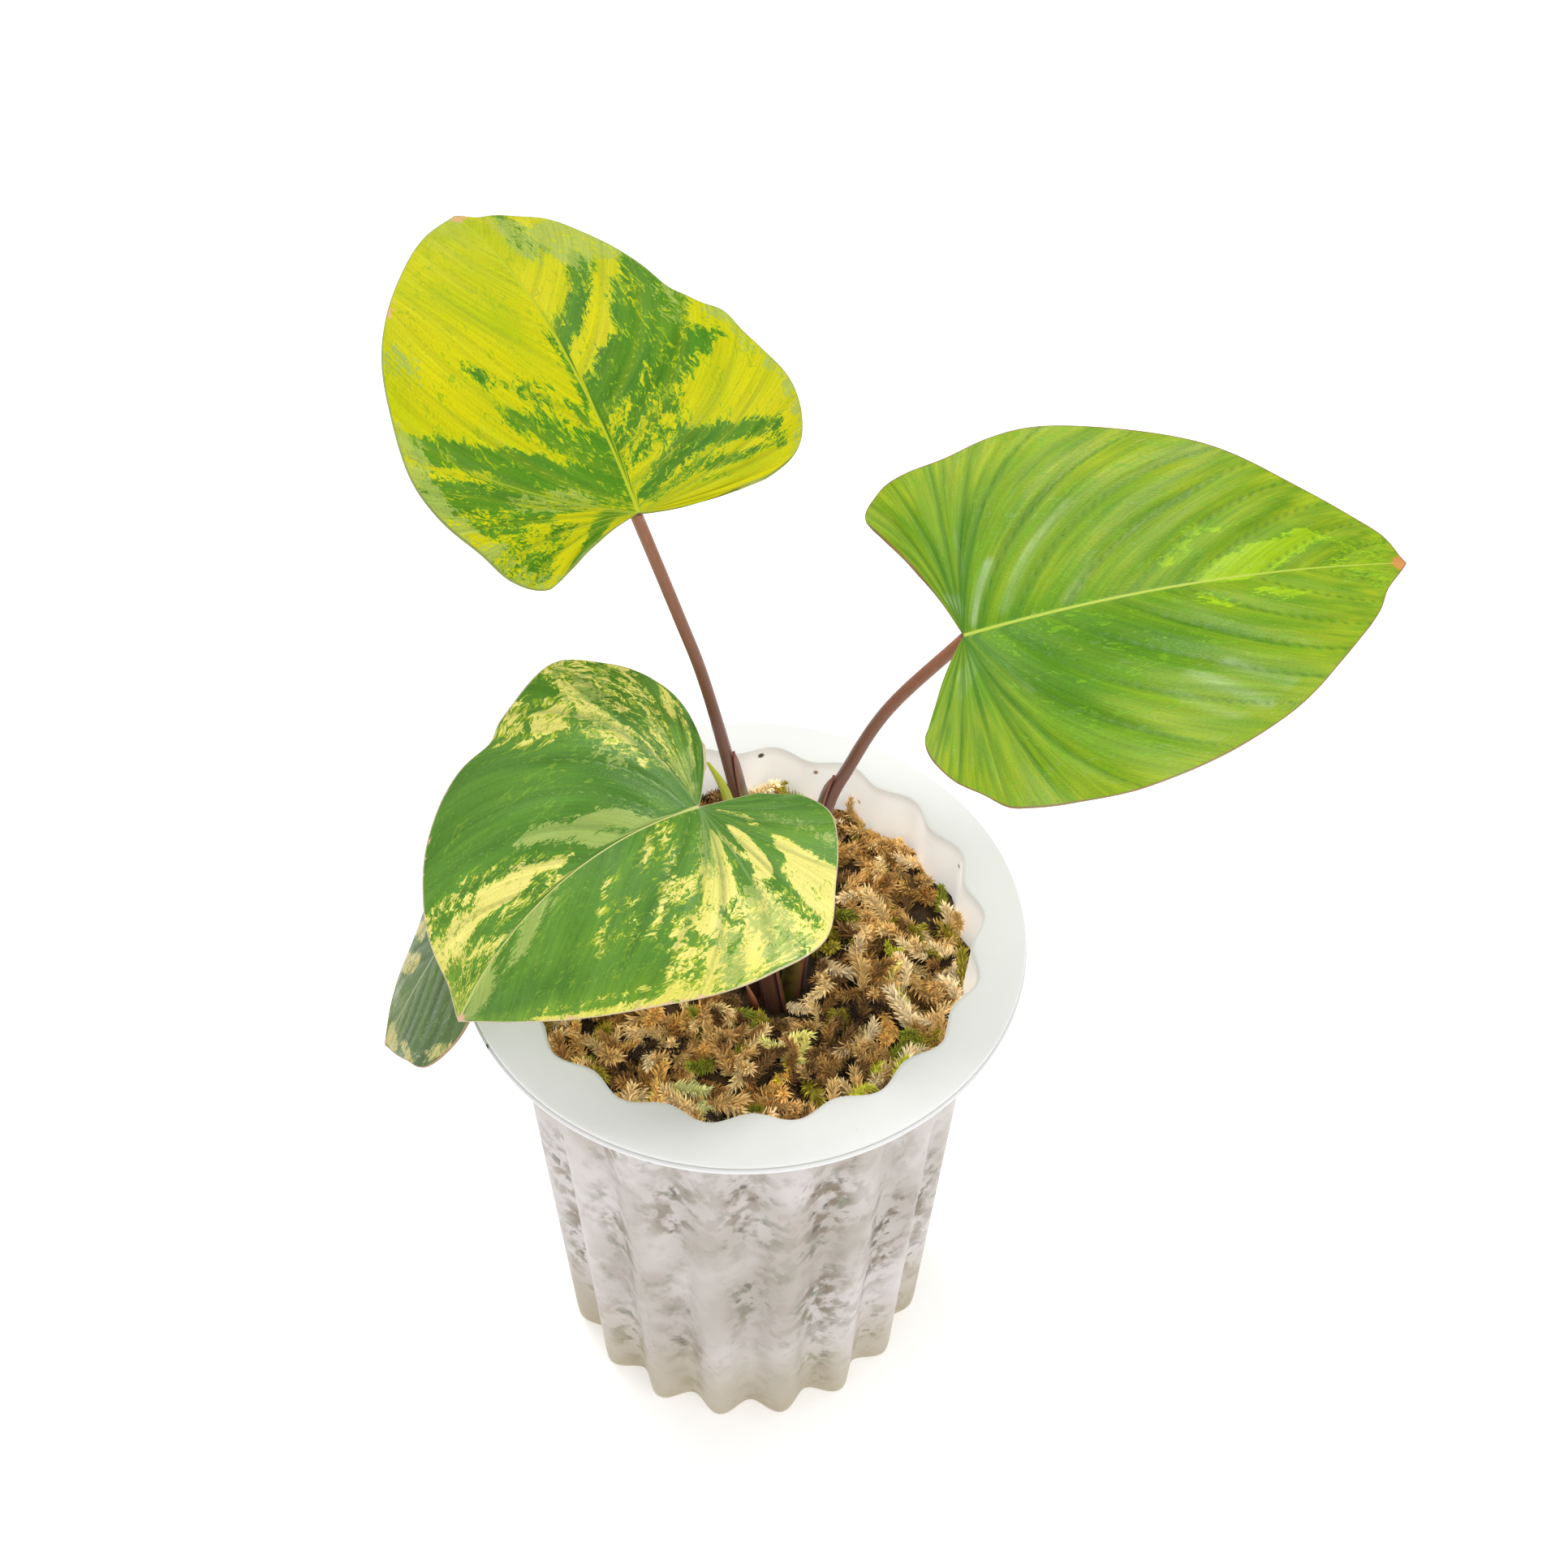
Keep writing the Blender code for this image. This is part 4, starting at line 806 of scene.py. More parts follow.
def stalkMaterial():        # live stalk: waxy skin, faintly streaked, with a lilac bloom at its edges
    material, tree = newMaterial("waxy_red_brown_stalk")
    wrap = addNode(tree, "UVMap", {"uv_map": "wrap"})
    along = addNode(tree, "SeparateXYZ", {"Vector": wrap}, "Y")
    colour = addNode(tree, "ValToRGB", {"Fac": along})
    ramp = colour.node.color_ramp
    ramp.elements[0].color = linearColour(stalkSkin["foot"])
    ramp.elements[1].color = linearColour(stalkSkin["top"])
    ramp.elements.new(0.6).color = linearColour(stalkSkin["middle"])
    place = addNode(tree, "TexCoord", {}, "Object")
    moved = addNode(tree, "Mapping", {"Vector": place, "Scale": (900, 900, 60)})        # streaks 1 mm wide
    streaks = addNode(tree, "TexNoise", {"Vector": moved, "Scale": 1.0, "Detail": 3.0})
    shade = addNode(tree, "MapRange", {"Value": streaks, "To Min": 0.8, "To Max": 1.2})
    colour = addNode(tree, "MixRGB", {"blend_type": "MULTIPLY", "Fac": 1.0, "Color1": colour,
                                      "Color2": shade})
    bump = addNode(tree, "Bump", {"Height": streaks, "Strength": 0.3, "Distance": 0.0003})
    return setSurface(material, {"Base Color": colour, "Roughness": 0.36, "Normal": bump, "Sheen Weight": 0.3,
                                 "Sheen Roughness": 0.4, "Sheen Tint": linearColour("#BFAED0")})


def sheathMaterial():        # thin membrane: satin, olive brown, with a pink rim where it dries
    material, tree = newMaterial("thin_pink_edged_sheath")
    rim = addNode(tree, "Attribute", {"attribute_name": "rim"}, "Fac")
    place = addNode(tree, "TexCoord", {}, "Object")
    blotch = addNode(tree, "TexNoise", {"Vector": place, "Scale": 160.0, "Detail": 2.0})        # 6 mm
    foot, inside, edge = (linearColour(stalkSkin[name]) for name in ("foot", "inside", "edge"))
    colour = layerColour(tree, foot, blotch, (0.3, 0.6, 0.0, 1.0), inside, "LINEAR")
    colour = addNode(tree, "MixRGB", {"Fac": rim, "Color1": colour, "Color2": edge})
    return setSurface(material, {"Base Color": colour, "Roughness": 0.42})


def makeSheath(name, path, radii, side, top, out):        # an open wrap round the stalk that ends in a point
    count = int(np.searchsorted(path[:, 2], top))
    path, radii = path[:count], radii[:count]
    across, third = ringFrames(path, side)
    columns = stalkSkin["sheathColumns"]
    piece, column, row = gridPiece(name, columns, count - 1)
    share = row / (count - 1)
    turn = 2 * column / columns - 1
    angle = turn * np.radians(stalkSkin["sheathWrap"]) * np.sqrt(np.clip(1 - share ** 2.2, 0.0004, 1))
    swell = out * np.clip(1 - share ** 3, 0, 1) * (1 - np.abs(turn) ** 3)
    flare = 0.5 * np.abs(turn) ** 6        # its free edges curl away from the stalk
    reach = radii[row] + stalkSkin["sheathGap"] + swell + flare
    placeVertices(piece, path[row] + across[row] * (reach * np.cos(angle))[:, None]
                  + third[row] * (reach * np.sin(angle))[:, None])
    pointValue(piece, "rim", np.clip(np.abs(turn) ** 8 + share ** 14, 0, 1))
    cornerValues(piece, "wrap", np.stack([column / columns, share], 1), True)
    closeSeams(piece)
    piece.data.materials.append(sheath)
    applyModifier(piece, "SOLIDIFY", {"thickness": stalkSkin["sheathThickness"] * mm})
    shadeSmooth(piece, 50)
    return piece


def makeStalk(key):
    spec, leaf = stalks[key], leaves[key]
    turn = math.radians(spec["foot"])
    foot = (crown["place"][0] + crown["stalkCircle"] * math.cos(turn),
            crown["place"][1] + crown["stalkCircle"] * math.sin(turn), crown["top"] + crown["gap"])
    up = leafAxes(leaf)[2]
    near, far = stalkSkin["ends"]
    solidEnd = np.array(leaf["joint"]) - up * (blade["thickness"] + stalkSkin["endGap"] + near)
    path = evenPath([foot] + spec["via"] + [tuple(solidEnd)], stalkSkin["step"])
    path = np.vstack([path, path[-1] + up * near, path[-1] + up * far])
    share = np.linspace(0, 1, len(path))
    radii = np.interp(np.minimum(1, share * 1.6), [0, 1], spec["radius"])
    radii[-3:] *= stalkSkin["closing"]        # it closes inside the midrib
    sheathAngle, sheathOut, sheathTop = spec["sheath"]
    side = (math.cos(math.radians(sheathAngle)), math.sin(math.radians(sheathAngle)), 0)
    stalk = tubePiece(f"stalk_{key}", ringsRound(path, side, radii[:, None], stalkSkin["sides"]))
    stalk.data.materials.append(stalkBody)
    wrap = makeSheath(f"sheath_{key}", path, radii, side, sheathTop, sheathOut - stalkSkin["sheathInset"])
    return finishPiece(joinPieces([stalk, wrap], f"stalk_{key}_fine"), "stalk", f"stalk_{key}")


stalkBody, sheath = stalkMaterial(), sheathMaterial()
for stalkKey in stalks:
    makeStalk(stalkKey)
print("stalks are made")

# New shoot: a blade still rolled round itself, yellow-green, streaked darker, with a cream foot
shoot = {"path": [(8.4, -5.4, 148.3), (5.2, -2.6, 178), (-0.6, 0.8, 205), (-4.7, 3, 222), (-8.8, 4.8, 230.5)],
         "radii": (1.5, 1.7, 1.5, 1.1, 0.35), "sides": 20, "overlap": 0.35,
         "low": "#E8E4B0", "high": "#B9BF2E", "dark": "#6E7A1C", "bands": (0.35, 0.6)}
scaleLeaf = {"path": [(3.2, -10.4, 148.3), (2.2, -11.2, 155), (0.6, -12.2, 162.5)], "radii": (1.9, 1.7, 0.4),
             "flat": 0.45, "sides": 20,
             "low": "#B9603C", "high": "#E8A27E", "dark": "#8A3E26", "bands": (0.2, 0.9)}


def taperedRings(spec, side, flat=1.0, overlap=0.0):
    path = smoothCurve(spec["path"], 10)
    knots = len(spec["path"])
    radii = np.interp(np.linspace(0, knots - 1, len(path)), range(knots), spec["radii"])
    reach = radii[:, None] * (1 + overlap * np.clip(1 - evenTurns(spec["sides"]) / 0.9, 0, 1) * 0.6)
    return ringsRound(path, side, reach, spec["sides"], flat)


def budMaterial(name, spec):        # tender new tissue: smooth, moist and slightly see-through
    low, high, dark = (linearColour(spec[key]) for key in ("low", "high", "dark"))
    material, tree = newMaterial(name)
    wrap = addNode(tree, "UVMap", {"uv_map": "wrap"})
    along = addNode(tree, "SeparateXYZ", {"Vector": wrap}, "Y")
    colour = layerColour(tree, low, along, (*spec["bands"], 0.0, 1.0), high, "LINEAR")
    moved = addNode(tree, "Mapping", {"Vector": wrap, "Scale": (26, 2.5, 1)})        # half a millimetre wide
    streaks = addNode(tree, "TexNoise", {"Vector": moved, "Scale": 1.0, "Detail": 2.0})
    colour = layerColour(tree, colour, streaks, (0.5, 0.75, 0.0, 0.5), dark, "LINEAR")
    return setSurface(material, {"Base Color": colour, "Roughness": 0.35, "Subsurface Weight": 0.15,
                                 "Subsurface Scale": 0.002})


shootPiece = tubePiece("rolled_shoot", taperedRings(shoot, (1, 0, 0), overlap=shoot["overlap"]))
shootPiece.data.materials.append(budMaterial("tender_yellow_green_shoot", shoot))
finishPiece(shootPiece, "shoot", "new_shoot")
scalePiece = tubePiece("scale_leaf_fine", taperedRings(scaleLeaf, (1, 1, 0), scaleLeaf["flat"]))
scalePiece.data.materials.append(budMaterial("papery_orange_scale", scaleLeaf))
finishPiece(scalePiece, "scale_leaf", "scale_leaf")
print("shoot and scale leaf are made")


def makeCrown():        # rough short stem, ringed by old leaf scars
    z = np.linspace(crown["top"] - crown["depth"], crown["top"], crown["rows"])
    around = evenTurns(crown["sides"])
    radius = np.interp(z, [z[0], z[-1]], crown["radius"])[:, None] - 0.5
    radius = radius + 0.3 * np.sin(z * 2.1)[:, None] + 0.25 * np.sin(5 * around + z[:, None] * 0.4)
    x, y = crown["place"]
    rings = np.stack([x + radius * np.cos(around), y + radius * np.sin(around),
                      np.broadcast_to(z[:, None], radius.shape)], -1)
    piece = tubePiece("crown_fine", rings)
    material, tree = newMaterial("rough_brown_rhizome")        # corky skin, dull
    place = addNode(tree, "TexCoord", {}, "Object")
    grain = addNode(tree, "TexNoise", {"Vector": place, "Scale": 420.0, "Detail": 4.0})        # 2 mm cork
    colour = addNode(tree, "MixRGB", {"Fac": grain, "Color1": linearColour(crown["dark"]),
                                      "Color2": linearColour(crown["light"])})
    bump = addNode(tree, "Bump", {"Height": grain, "Strength": 0.7, "Distance": 0.0006})
    skin = setSurface(material, {"Base Color": colour, "Roughness": 0.85, "Normal": bump})
    piece.data.materials.append(skin)
    finishPiece(piece, "crown", "crown")


makeCrown()
print("crown is made")

# Pot: thin clear-white plastic with 18 soft flutes, a flat rim and a rolled lip. A profile row is
# radius, height and how much of the fluting it takes.
pot = {"height": 172.0, "rimRadius": 75.0, "mouthRise": 1.9, "topRadius": 63.4, "footRadius": 53.3,
       "wall": 1.2, "floor": 1.8,
       "flutes": 18, "fluteTop": 1.6, "fluteFoot": 2.75, "phase": -98.2, "stepsPerFlute": 16,
       "drainHoles": 6, "drainRadius": 4.0, "drainCircle": 27.0, "flatRadius": 18, "wallRows": 24,
       # these profile rows are measured from the foot, the rim's top edge, the mouth and the floor
       "footRound": ((-4.2, 0, .9), (-2.4, .05, 1), (-1.3, .35, 1), (-.6, 1.0, 1), (-.2, 1.9, 1),
                     (0, 3.0, 1)),
       "lip": ((-8.5, -.45, .1), (-5, -.8, 0), (-1.3, -1.3, 0), (-1.0, -1.9, 0), (-1.0, -2.8, 0),
               (-.8, -3.15, 0), (-.1, -3.15, 0), (.3, -2.95, 0), (.43, -2.5, 0), (.38, -2.0, 0),
               (.1, -1.65, 0), (-.25, -1.45, 0), (-.25, -1.2, 0), (-.02, -.95, 0), (.05, -.5, 0),
               (-.1, -.12, 0), (-.5, .02, 0), (-2.5, .42, 0), (-5.5, .88, 0), (-8.2, 1.35, .12),
               (-10.4, 1.68, .5), (-11.7, 1.84, .85)),
       "mouthRound": ((.35, -.02, 1), (.1, -.15, 1), (0, -.5, 1)),
       "floorRound": ((-2.2, 1.2, 1), (-3.4, .2, 1), (-5, 0, .9)),
       "groove": (-0.25, -1.3, 0.6),        # under the rim's edge: place from its top edge, and cover of a darker grey line
       # painted glow: it rises up the free inner wall between the glowRise heights and fades out over
       # glowStop at the mouth; rimGlow is painted light on the rim's sunny side
       "bareFrom": 140, "glowRise": (135, 150), "glowStop": 0.8, "rimGlow": 0.42,
       "rimShadowGlow": {"glow": 0.75, "turn": 3.58, "reach": 0.95},        # painted light that keeps the rim bright in the front leaf's shadow
       "white": "#EDECEC", "clear": "#D4D1CC", "behind": "#B7AEA4", "behindLight": "#D9D2CF",
       "brown": "#83735F", "green": "#7C7F68", "dark": "#574D40", "foot": "#B9AC8C",
       "grooveGrey": "#B4B8A8", "through": 0.41, "valley": (0.9, -0.6, 0.3), "clusterGain": (0.85, 0.15),
       # layers of colour by height: two heights in metres, the cover at each, colour
       "bands": ((0.045, 0.004, 0.0, 0.75, "foot"), (0.150, 0.163, 0.0, 1.0, "clear")),
       "blots": {"cloud": (30, 0.5, 0.35, 0.65, 3.0), "cluster": (22, 0.5, 0.38, 0.6, 17.0),
                 "brown": (4.4, 0.7, 0.45, 0.62, 11.0), "green": (5.0, 0.7, 0.53, 0.68, 29.0),
                 "dark": (3.4, 0.75, 0.57, 0.7, 41.0), "ripple": (14, 0.8, 0.2, 0.8, 47.0)},
       "specks": ((170, 0.08, 0.16, 0.78, "#8A7256"), (80, 0.05, 0.09, 0.6, "#4A4236"))}


def wallRadius(z):
    return pot["footRadius"] + (pot["topRadius"] - pot["footRadius"]) * z / pot["height"]


def fluteSwing(angle, z):
    share = np.clip(z / pot["height"], 0, 1)
    swing = pot["fluteFoot"] + (pot["fluteTop"] - pot["fluteFoot"]) * share
    return swing * np.cos(pot["flutes"] * (angle - math.radians(pot["phase"])))


def spinFluted(name, profile, steps):
    profile = np.asarray(profile, float)
    piece, column, row = gridPiece(name, steps, len(profile) - 1)
    angle = math.radians(pot["phase"]) + 2 * np.pi * (column % steps) / steps
    radius, height, share = profile[row].T
    radius = radius + share * fluteSwing(angle, height)
    places = np.stack([radius * np.cos(angle), radius * np.sin(angle), height], 1)
    return piece, places, angle, row


def potMaterial():        # moulded polypropylene, milky and satin, with the moss behind it seen as soft blots
    colours = {name: linearColour(value) for name, value in pot.items() if str(value).startswith("#")}
    material, tree = newMaterial("milky_moulded_polypropylene")
    place = addNode(tree, "Attribute", {"attribute_name": "round"}, "Vector")        # in metres, unfluted
    height = addNode(tree, "SeparateXYZ", {"Vector": place}, "Z")
    ridge, bare, groove, glow = (addNode(tree, "Attribute", {"attribute_name": name}, "Fac")
                                 for name in ("ridge", "bare", "groove", "glow"))
    blots = {}
    for name, (size, stretch, low, high, shift) in pot["blots"].items():        # size in mm
        scale = 1000 / size
        moved = addNode(tree, "Mapping", {"Vector": place, "Scale": (scale, scale, scale * stretch),
                                          "Location": (shift,) * 3, "Rotation": (0.5, 0.35, 0)})
        noise = addNode(tree, "TexNoise", {"Vector": moved, "Scale": 1.0, "Detail": 3.0, "Distortion": 0.1})
        blots[name] = addNode(tree, "MapRange", {"interpolation_type": "SMOOTHSTEP", "Value": noise,
                                                 "From Min": low, "From Max": high})
    low, high, least = pot["valley"]        # the moss shows where it touches the wall, in the valleys
    valley = addNode(tree, "MapRange", {"Value": ridge, "From Min": low, "From Max": high, "To Min": least})
    gain, base = pot["clusterGain"]
    thick = addNode(tree, "Math", {"operation": "MULTIPLY_ADD", 0: blots["cluster"], 1: gain, 2: base})
    thick = addNode(tree, "Math", {"operation": "MULTIPLY", 0: thick, 1: valley})
    colour = addNode(tree, "MixRGB", {"Fac": blots["cloud"], "Color1": colours["behindLight"],
                                      "Color2": colours["behind"]})
    for name in ("brown", "green", "dark"):
        cover = addNode(tree, "Math", {"operation": "MULTIPLY", 0: blots[name], 1: thick})
        colour = addNode(tree, "MixRGB", {"Fac": cover, "Color1": colour, "Color2": colours[name]})
    for *ramp, over in pot["bands"]:
        colour = layerColour(tree, colour, height, ramp, colours[over], "LINEAR")
    colour = addNode(tree, "MixRGB", {"Fac": bare, "Color1": colour, "Color2": colours["white"]})
    for scale, full, none, rare, over in pot["specks"]:        # crumbs of moss that stick to the plastic
        specks = addNode(tree, "TexVoronoi", {"Vector": place, "Scale": scale})
        picked = addNode(tree, "TexVoronoi", {"Vector": place, "Scale": scale}, "Color")
        picked = addNode(tree, "MapRange", {"Value": picked, "From Min": rare, "From Max": rare + 0.06})
        specks = addNode(tree, "MapRange", {"Value": specks, "From Min": none, "From Max": full})
        for other in (picked, bare):
            specks = addNode(tree, "Math", {"operation": "MULTIPLY", 0: specks, 1: other})
        colour = addNode(tree, "MixRGB", {"Fac": specks, "Color1": colour, "Color2": linearColour(over)})
    # a darker grey line in the crease under the rim's edge
    colour = addNode(tree, "MixRGB", {"Fac": groove, "Color1": colour, "Color2": colours["grooveGrey"]})
    # painted glow: emission lights the free inner wall and the rim, though they are no lamp
    light = addNode(tree, "MixRGB", {"Fac": glow, "Color1": (0, 0, 0, 1), "Color2": colour})
    bump = addNode(tree, "Bump", {"Height": blots["ripple"], "Strength": 0.12, "Distance": 0.0012})
    return setSurface(material, {
        "Base Color": colour, "Roughness": 0.42, "IOR": 1.49, "Specular IOR Level": 0.42, "Normal": bump,
        "Subsurface Weight": 0.5, "Subsurface Scale": 0.002, "Subsurface Radius": (1.0, 1.0, 1.0),
        "Emission Color": light, "Emission Strength": pot["through"]})


def rowsFrom(key, radius, height):        # a named stretch of the profile, at its place
    return [(radius + out, height + up, share) for out, up, share in pot[key]]


def drainCutter():
    holes = []
    for turn in evenTurns(pot["drainHoles"]):
        deselectAll()
        place = (pot["drainCircle"] * mm * math.cos(turn), pot["drainCircle"] * mm * math.sin(turn), 0)
        bpy.ops.mesh.primitive_cylinder_add(vertices=24, radius=pot["drainRadius"] * mm, depth=0.012,
                                            location=place)
        holes.append(bpy.context.object)
    return joinPieces(holes, "drain_cutter")


def makePot():
    top, foot, rim = pot["height"], pot["footRadius"], pot["rimRadius"]
    mouth, flat = top + pot["mouthRise"], pot["flatRadius"]
    outside = [(0, 0, 0), (flat, 0, 0)] + rowsFrom("footRound", foot, 0)
    outside += [(wallRadius(z), z, 1) for z in np.linspace(8, top - 4, pot["wallRows"])]
    outside += [(wallRadius(top - 1.5), top - 1.5, 1), (wallRadius(top) + .4, top - 0.7, .9)]
    lip = rowsFrom("lip", rim, top)
    inside = rowsFrom("mouthRound", pot["topRadius"] - pot["wall"], mouth)
    inside += [(wallRadius(z) - pot["wall"], z, 1) for z in np.linspace(top - 1.5, 6, pot["wallRows"])]
    inside += rowsFrom("floorRound", foot, pot["floor"]) + [(flat, pot["floor"], 0), (0, pot["floor"], 0)]
    profile = outside + lip + inside
    piece, places, angle, row = spinFluted("pot_fine", profile, pot["flutes"] * pot["stepsPerFlute"])
    placeVertices(piece, places)
    radius, height, share = np.asarray(profile)[row].T
    outer, inner = row < len(outside), row >= len(outside) + len(lip)
    wave = share * np.cos(pot["flutes"] * (angle - math.radians(pot["phase"])))
    bare = np.where(outer, height > top - 1.0, ~inner | (height > pot["bareFrom"]))        # no moss behind it
    grooveOut, grooveUp, grooveCover = pot["groove"]
    groove = (abs(height - top - grooveUp) < 0.2) & (abs(radius - rim - grooveOut) < 0.3)
    glow = inner * np.interp(height, pot["glowRise"], (0, 1))        # painted glow on the free inner wall, standing in for light let in by the thin wall
    glow = glow * np.clip((mouth - height) / pot["glowStop"], 0, 1)
    shade = pot["rimShadowGlow"]
    shadow = np.clip(1 - abs(angle % (2 * np.pi) - shade["turn"]) / shade["reach"], 0, 1)
    # painted light on the rim: brighter towards its sunny side, and lifted where the front leaf's shadow
    # falls
    rimLight = pot["rimGlow"] * np.clip(np.cos(angle + 0.05), 0, 1) ** 2 + shade["glow"] * shadow
    glow = glow + (~outer & ~inner & (height > top - 0.2)) * rimLight
    smooth = piece.data.attributes.new("round", "FLOAT_VECTOR", "POINT")        # blots don't fold on it
    unfluted = mm * np.stack([radius * np.cos(angle), radius * np.sin(angle), height], 1)
    smooth.data.foreach_set("vector", unfluted.astype(np.float32).ravel())
    for name, values in (("ridge", wave), ("bare", bare), ("groove", groove * grooveCover), ("glow", glow)):
        pointValue(piece, name, values)
    closeSeams(piece)
    cutter = drainCutter()
    applyModifier(piece, "BOOLEAN", {"operation": "DIFFERENCE", "solver": "EXACT", "object": cutter})
    bpy.data.objects.remove(cutter, do_unlink=True)
    piece.data.materials.append(potMaterial())
    shadeSmooth(piece, 40)
    finishPiece(piece, "pot_plastic", "pot")


makePot()
print("pot is made")

# Moss: a dark bed, and feathery tufts that lie over each other on it. A tuft is an arched stem set
# all round with spiky leaflets. The first 150 stand where the solid's sprigs do, 560 more are
# scattered, and the last lie at the marked places: (tint, x, y, compass angle, length).
moss = {"depth": 15.5, "dip": 2.5, "lump": 1.6, "hollow": 5.0, "hollowWidth": 9.0,
        "sprigs": 150, "sprigLength": (9.0, 15.0), "sprigRadius": (2.0, 3.2), "sprigLean": (45, 80),
        "more": 560, "moreLength": (7.0, 13.5), "moreLean": (50, 92), "moreRise": (-1.5, 1.0),
        "moreRadius": 59.5, "tipRadius": 60, "crownGap": 8.5, "markedLean": 84, "markedRise": 3.0,
        "bedLight": "#5E462C", "bedDark": "#2C2016", "bedRough": 0.7, "stemLight": 0.15, "tipLight": 2.1,
        "tints": {"black": "#3C2C1C", "brown": "#806038", "rust": "#A88048", "tan": "#D2B074",
                  "orangeTan": "#DEB66A", "lightTan": "#E9D09C", "cream": "#F2E0BC",
                  "paleMint": "#DCDCA4", "paleYellow": "#EEE898", "yellow": "#E2D440",
                  "olive": "#A0942E", "lime": "#C8CC44", "green": "#8C922C"},
        "common": (("brown", "rust", "tan", "tan") * 3 + ("lightTan", "orangeTan", "black") * 2
                   + ("olive", "cream", "green")),
        "marked": [
            ("tan", 37.7, 29.4, -74, 15.8), ("lightTan", 28.7, 16.3, -71, 17.0),
            ("cream", 21.1, -0.3, -48, 13.6), ("tan", 31.5, -13.2, 80, 11.9),
            ("tan", 33.5, -1.5, -15, 9.7), ("cream", 49.7, -0.7, 150, 9.8), ("lime", 44.1, 1.5, 165, 6.5),
            ("paleYellow", 43.9, -15.4, 135, 11.4), ("cream", 43.3, -10.0, 96, 9.4),
            ("tan", 44.7, -5.4, -56, 15.4), ("tan", 51.2, 2.0, 24, 8.4), ("cream", 52.1, -24.4, 164, 10.5),
            ("orangeTan", 35.9, -17.7, -56, 9.9), ("orangeTan", 40.2, -24.4, -127, 9.7),
            ("cream", 30.9, -28.5, 41, 7.9), ("paleYellow", 12.1, -33.0, 88, 9.3),
            ("paleYellow", 12.1, -33.0, 41, 7.2), ("paleYellow", 11.6, -33.5, 162, 8.4),
            ("yellow", 12.0, -34.5, -106, 8.6), ("paleYellow", 12.9, -33.5, -47, 6.2),
            ("cream", 43.8, -34.0, 33, 7.0), ("olive", 45.4, -30.9, 40, 6.4),
            ("lime", 27.1, -46.7, 44, 7.2), ("lime", 33.2, -39.2, 59, 7.1), ("lime", 39.0, -41.3, 65, 6.6),
            ("green", 33.9, 19.1, -37, 6.9), ("green", 53.7, 14.4, 100, 6.7),
            ("cream", 11.5, -14.1, -40, 6.0), ("lightTan", 20.3, -5.3, -78, 12.4),
            ("lightTan", -38.0, -30.4, 25, 7.9), ("cream", -30.4, -23.4, -54, 8.8),
            ("cream", -25.8, -29.7, -68, 8.7), ("cream", -22.9, -35.8, -92, 8.1),
            ("lightTan", -11.2, -17.2, -111, 9.6), ("lightTan", -14.5, -25.6, -120, 8.9),
            ("lime", -27.3, -48.3, 141, 7.6), ("lime", -24.2, -48.3, 65, 7.0),
            ("paleMint", -19.0, -41.4, -39, 10.4), ("paleMint", -11.3, -47.4, -41, 10.2),
            ("cream", -17.5, -46.9, -16, 6.6), ("lightTan", 1.5, -52.4, 0, 9.8),
            ("green", -1.6, -51.0, 21, 6.8), ("paleMint", -12.3, -34.9, -120, 6.3),
            ("lightTan", -6.8, -31.3, -48, 13.7), ("orangeTan", 1.5, 55.6, 42, 6.6),
            ("olive", 9.8, 54.9, 80, 6.1), ("tan", 28.2, 35.6, 62, 10.3), ("brown", 43.5, 23.7, 9, 6.9),
            ("olive", 38.8, 9.4, 36, 6.7), ("olive", 45.1, 10.5, -31, 6.5),
            ("green", 38.5, -33.7, 49, 9.6), ("green", -45.2, -35.7, 34, 6.4),
            ("olive", 54.3, -4.6, 95, 6.7)]}

tuft = {"shapes": 16, "length": 12.0, "sides": 6,
        "radii": np.array([0.5, 0.75, 0.85, 0.85, 0.75, 0.65, 0.45, 0.15]),
        "bend": (15, 150), "leaflets": 104, "leafletLength": 2.8, "leafletWidth": 0.52, "goldenTurn": 2.39996,
        "stray": 0.4, "open": (38, 66), "closeAtTip": 22, "leafletSize": (0.75, 1.15), "glint": (0.45, 1.2)}


def mossHeight(x, y):
    out = np.hypot(x, y) / pot["topRadius"]
    lumps = np.sin(x / 7.1 + 0.6) * np.cos(y / 6.3 - 0.9) + 0.6 * np.sin((x + y) / 9.7)
    level = pot["height"] - moss["depth"] - moss["dip"] * (1 - out ** 2)
    return level + moss["lump"] * lumps * (1 - out ** 6)


def copyMesh(source, matrix):
    twin = source.copy()
    twin.data = source.data.copy()
    twin.data.transform(matrix)
    bpy.context.scene.collection.objects.link(twin)
    return twin


def turnTo(direction):        # takes +Z to the direction
    return Vector((0, 0, 1)).rotation_difference(Vector(direction)).to_matrix().to_4x4()


def makeLeaflet():        # a thin spike, dark at its foot
    deselectAll()
    length = tuft["leafletLength"] * mm
    bpy.ops.mesh.primitive_cone_add(vertices=3, radius1=tuft["leafletWidth"] * mm, radius2=0, depth=length,
                                    end_fill_type="NOTHING", location=(0, 0, 0))
    leaflet = bpy.context.object
    leaflet.data.transform(Matrix.Translation((0, 0, length / 2)))
    heights = np.array([vertex.co.z for vertex in leaflet.data.vertices])
    return leaflet, heights / heights.max()


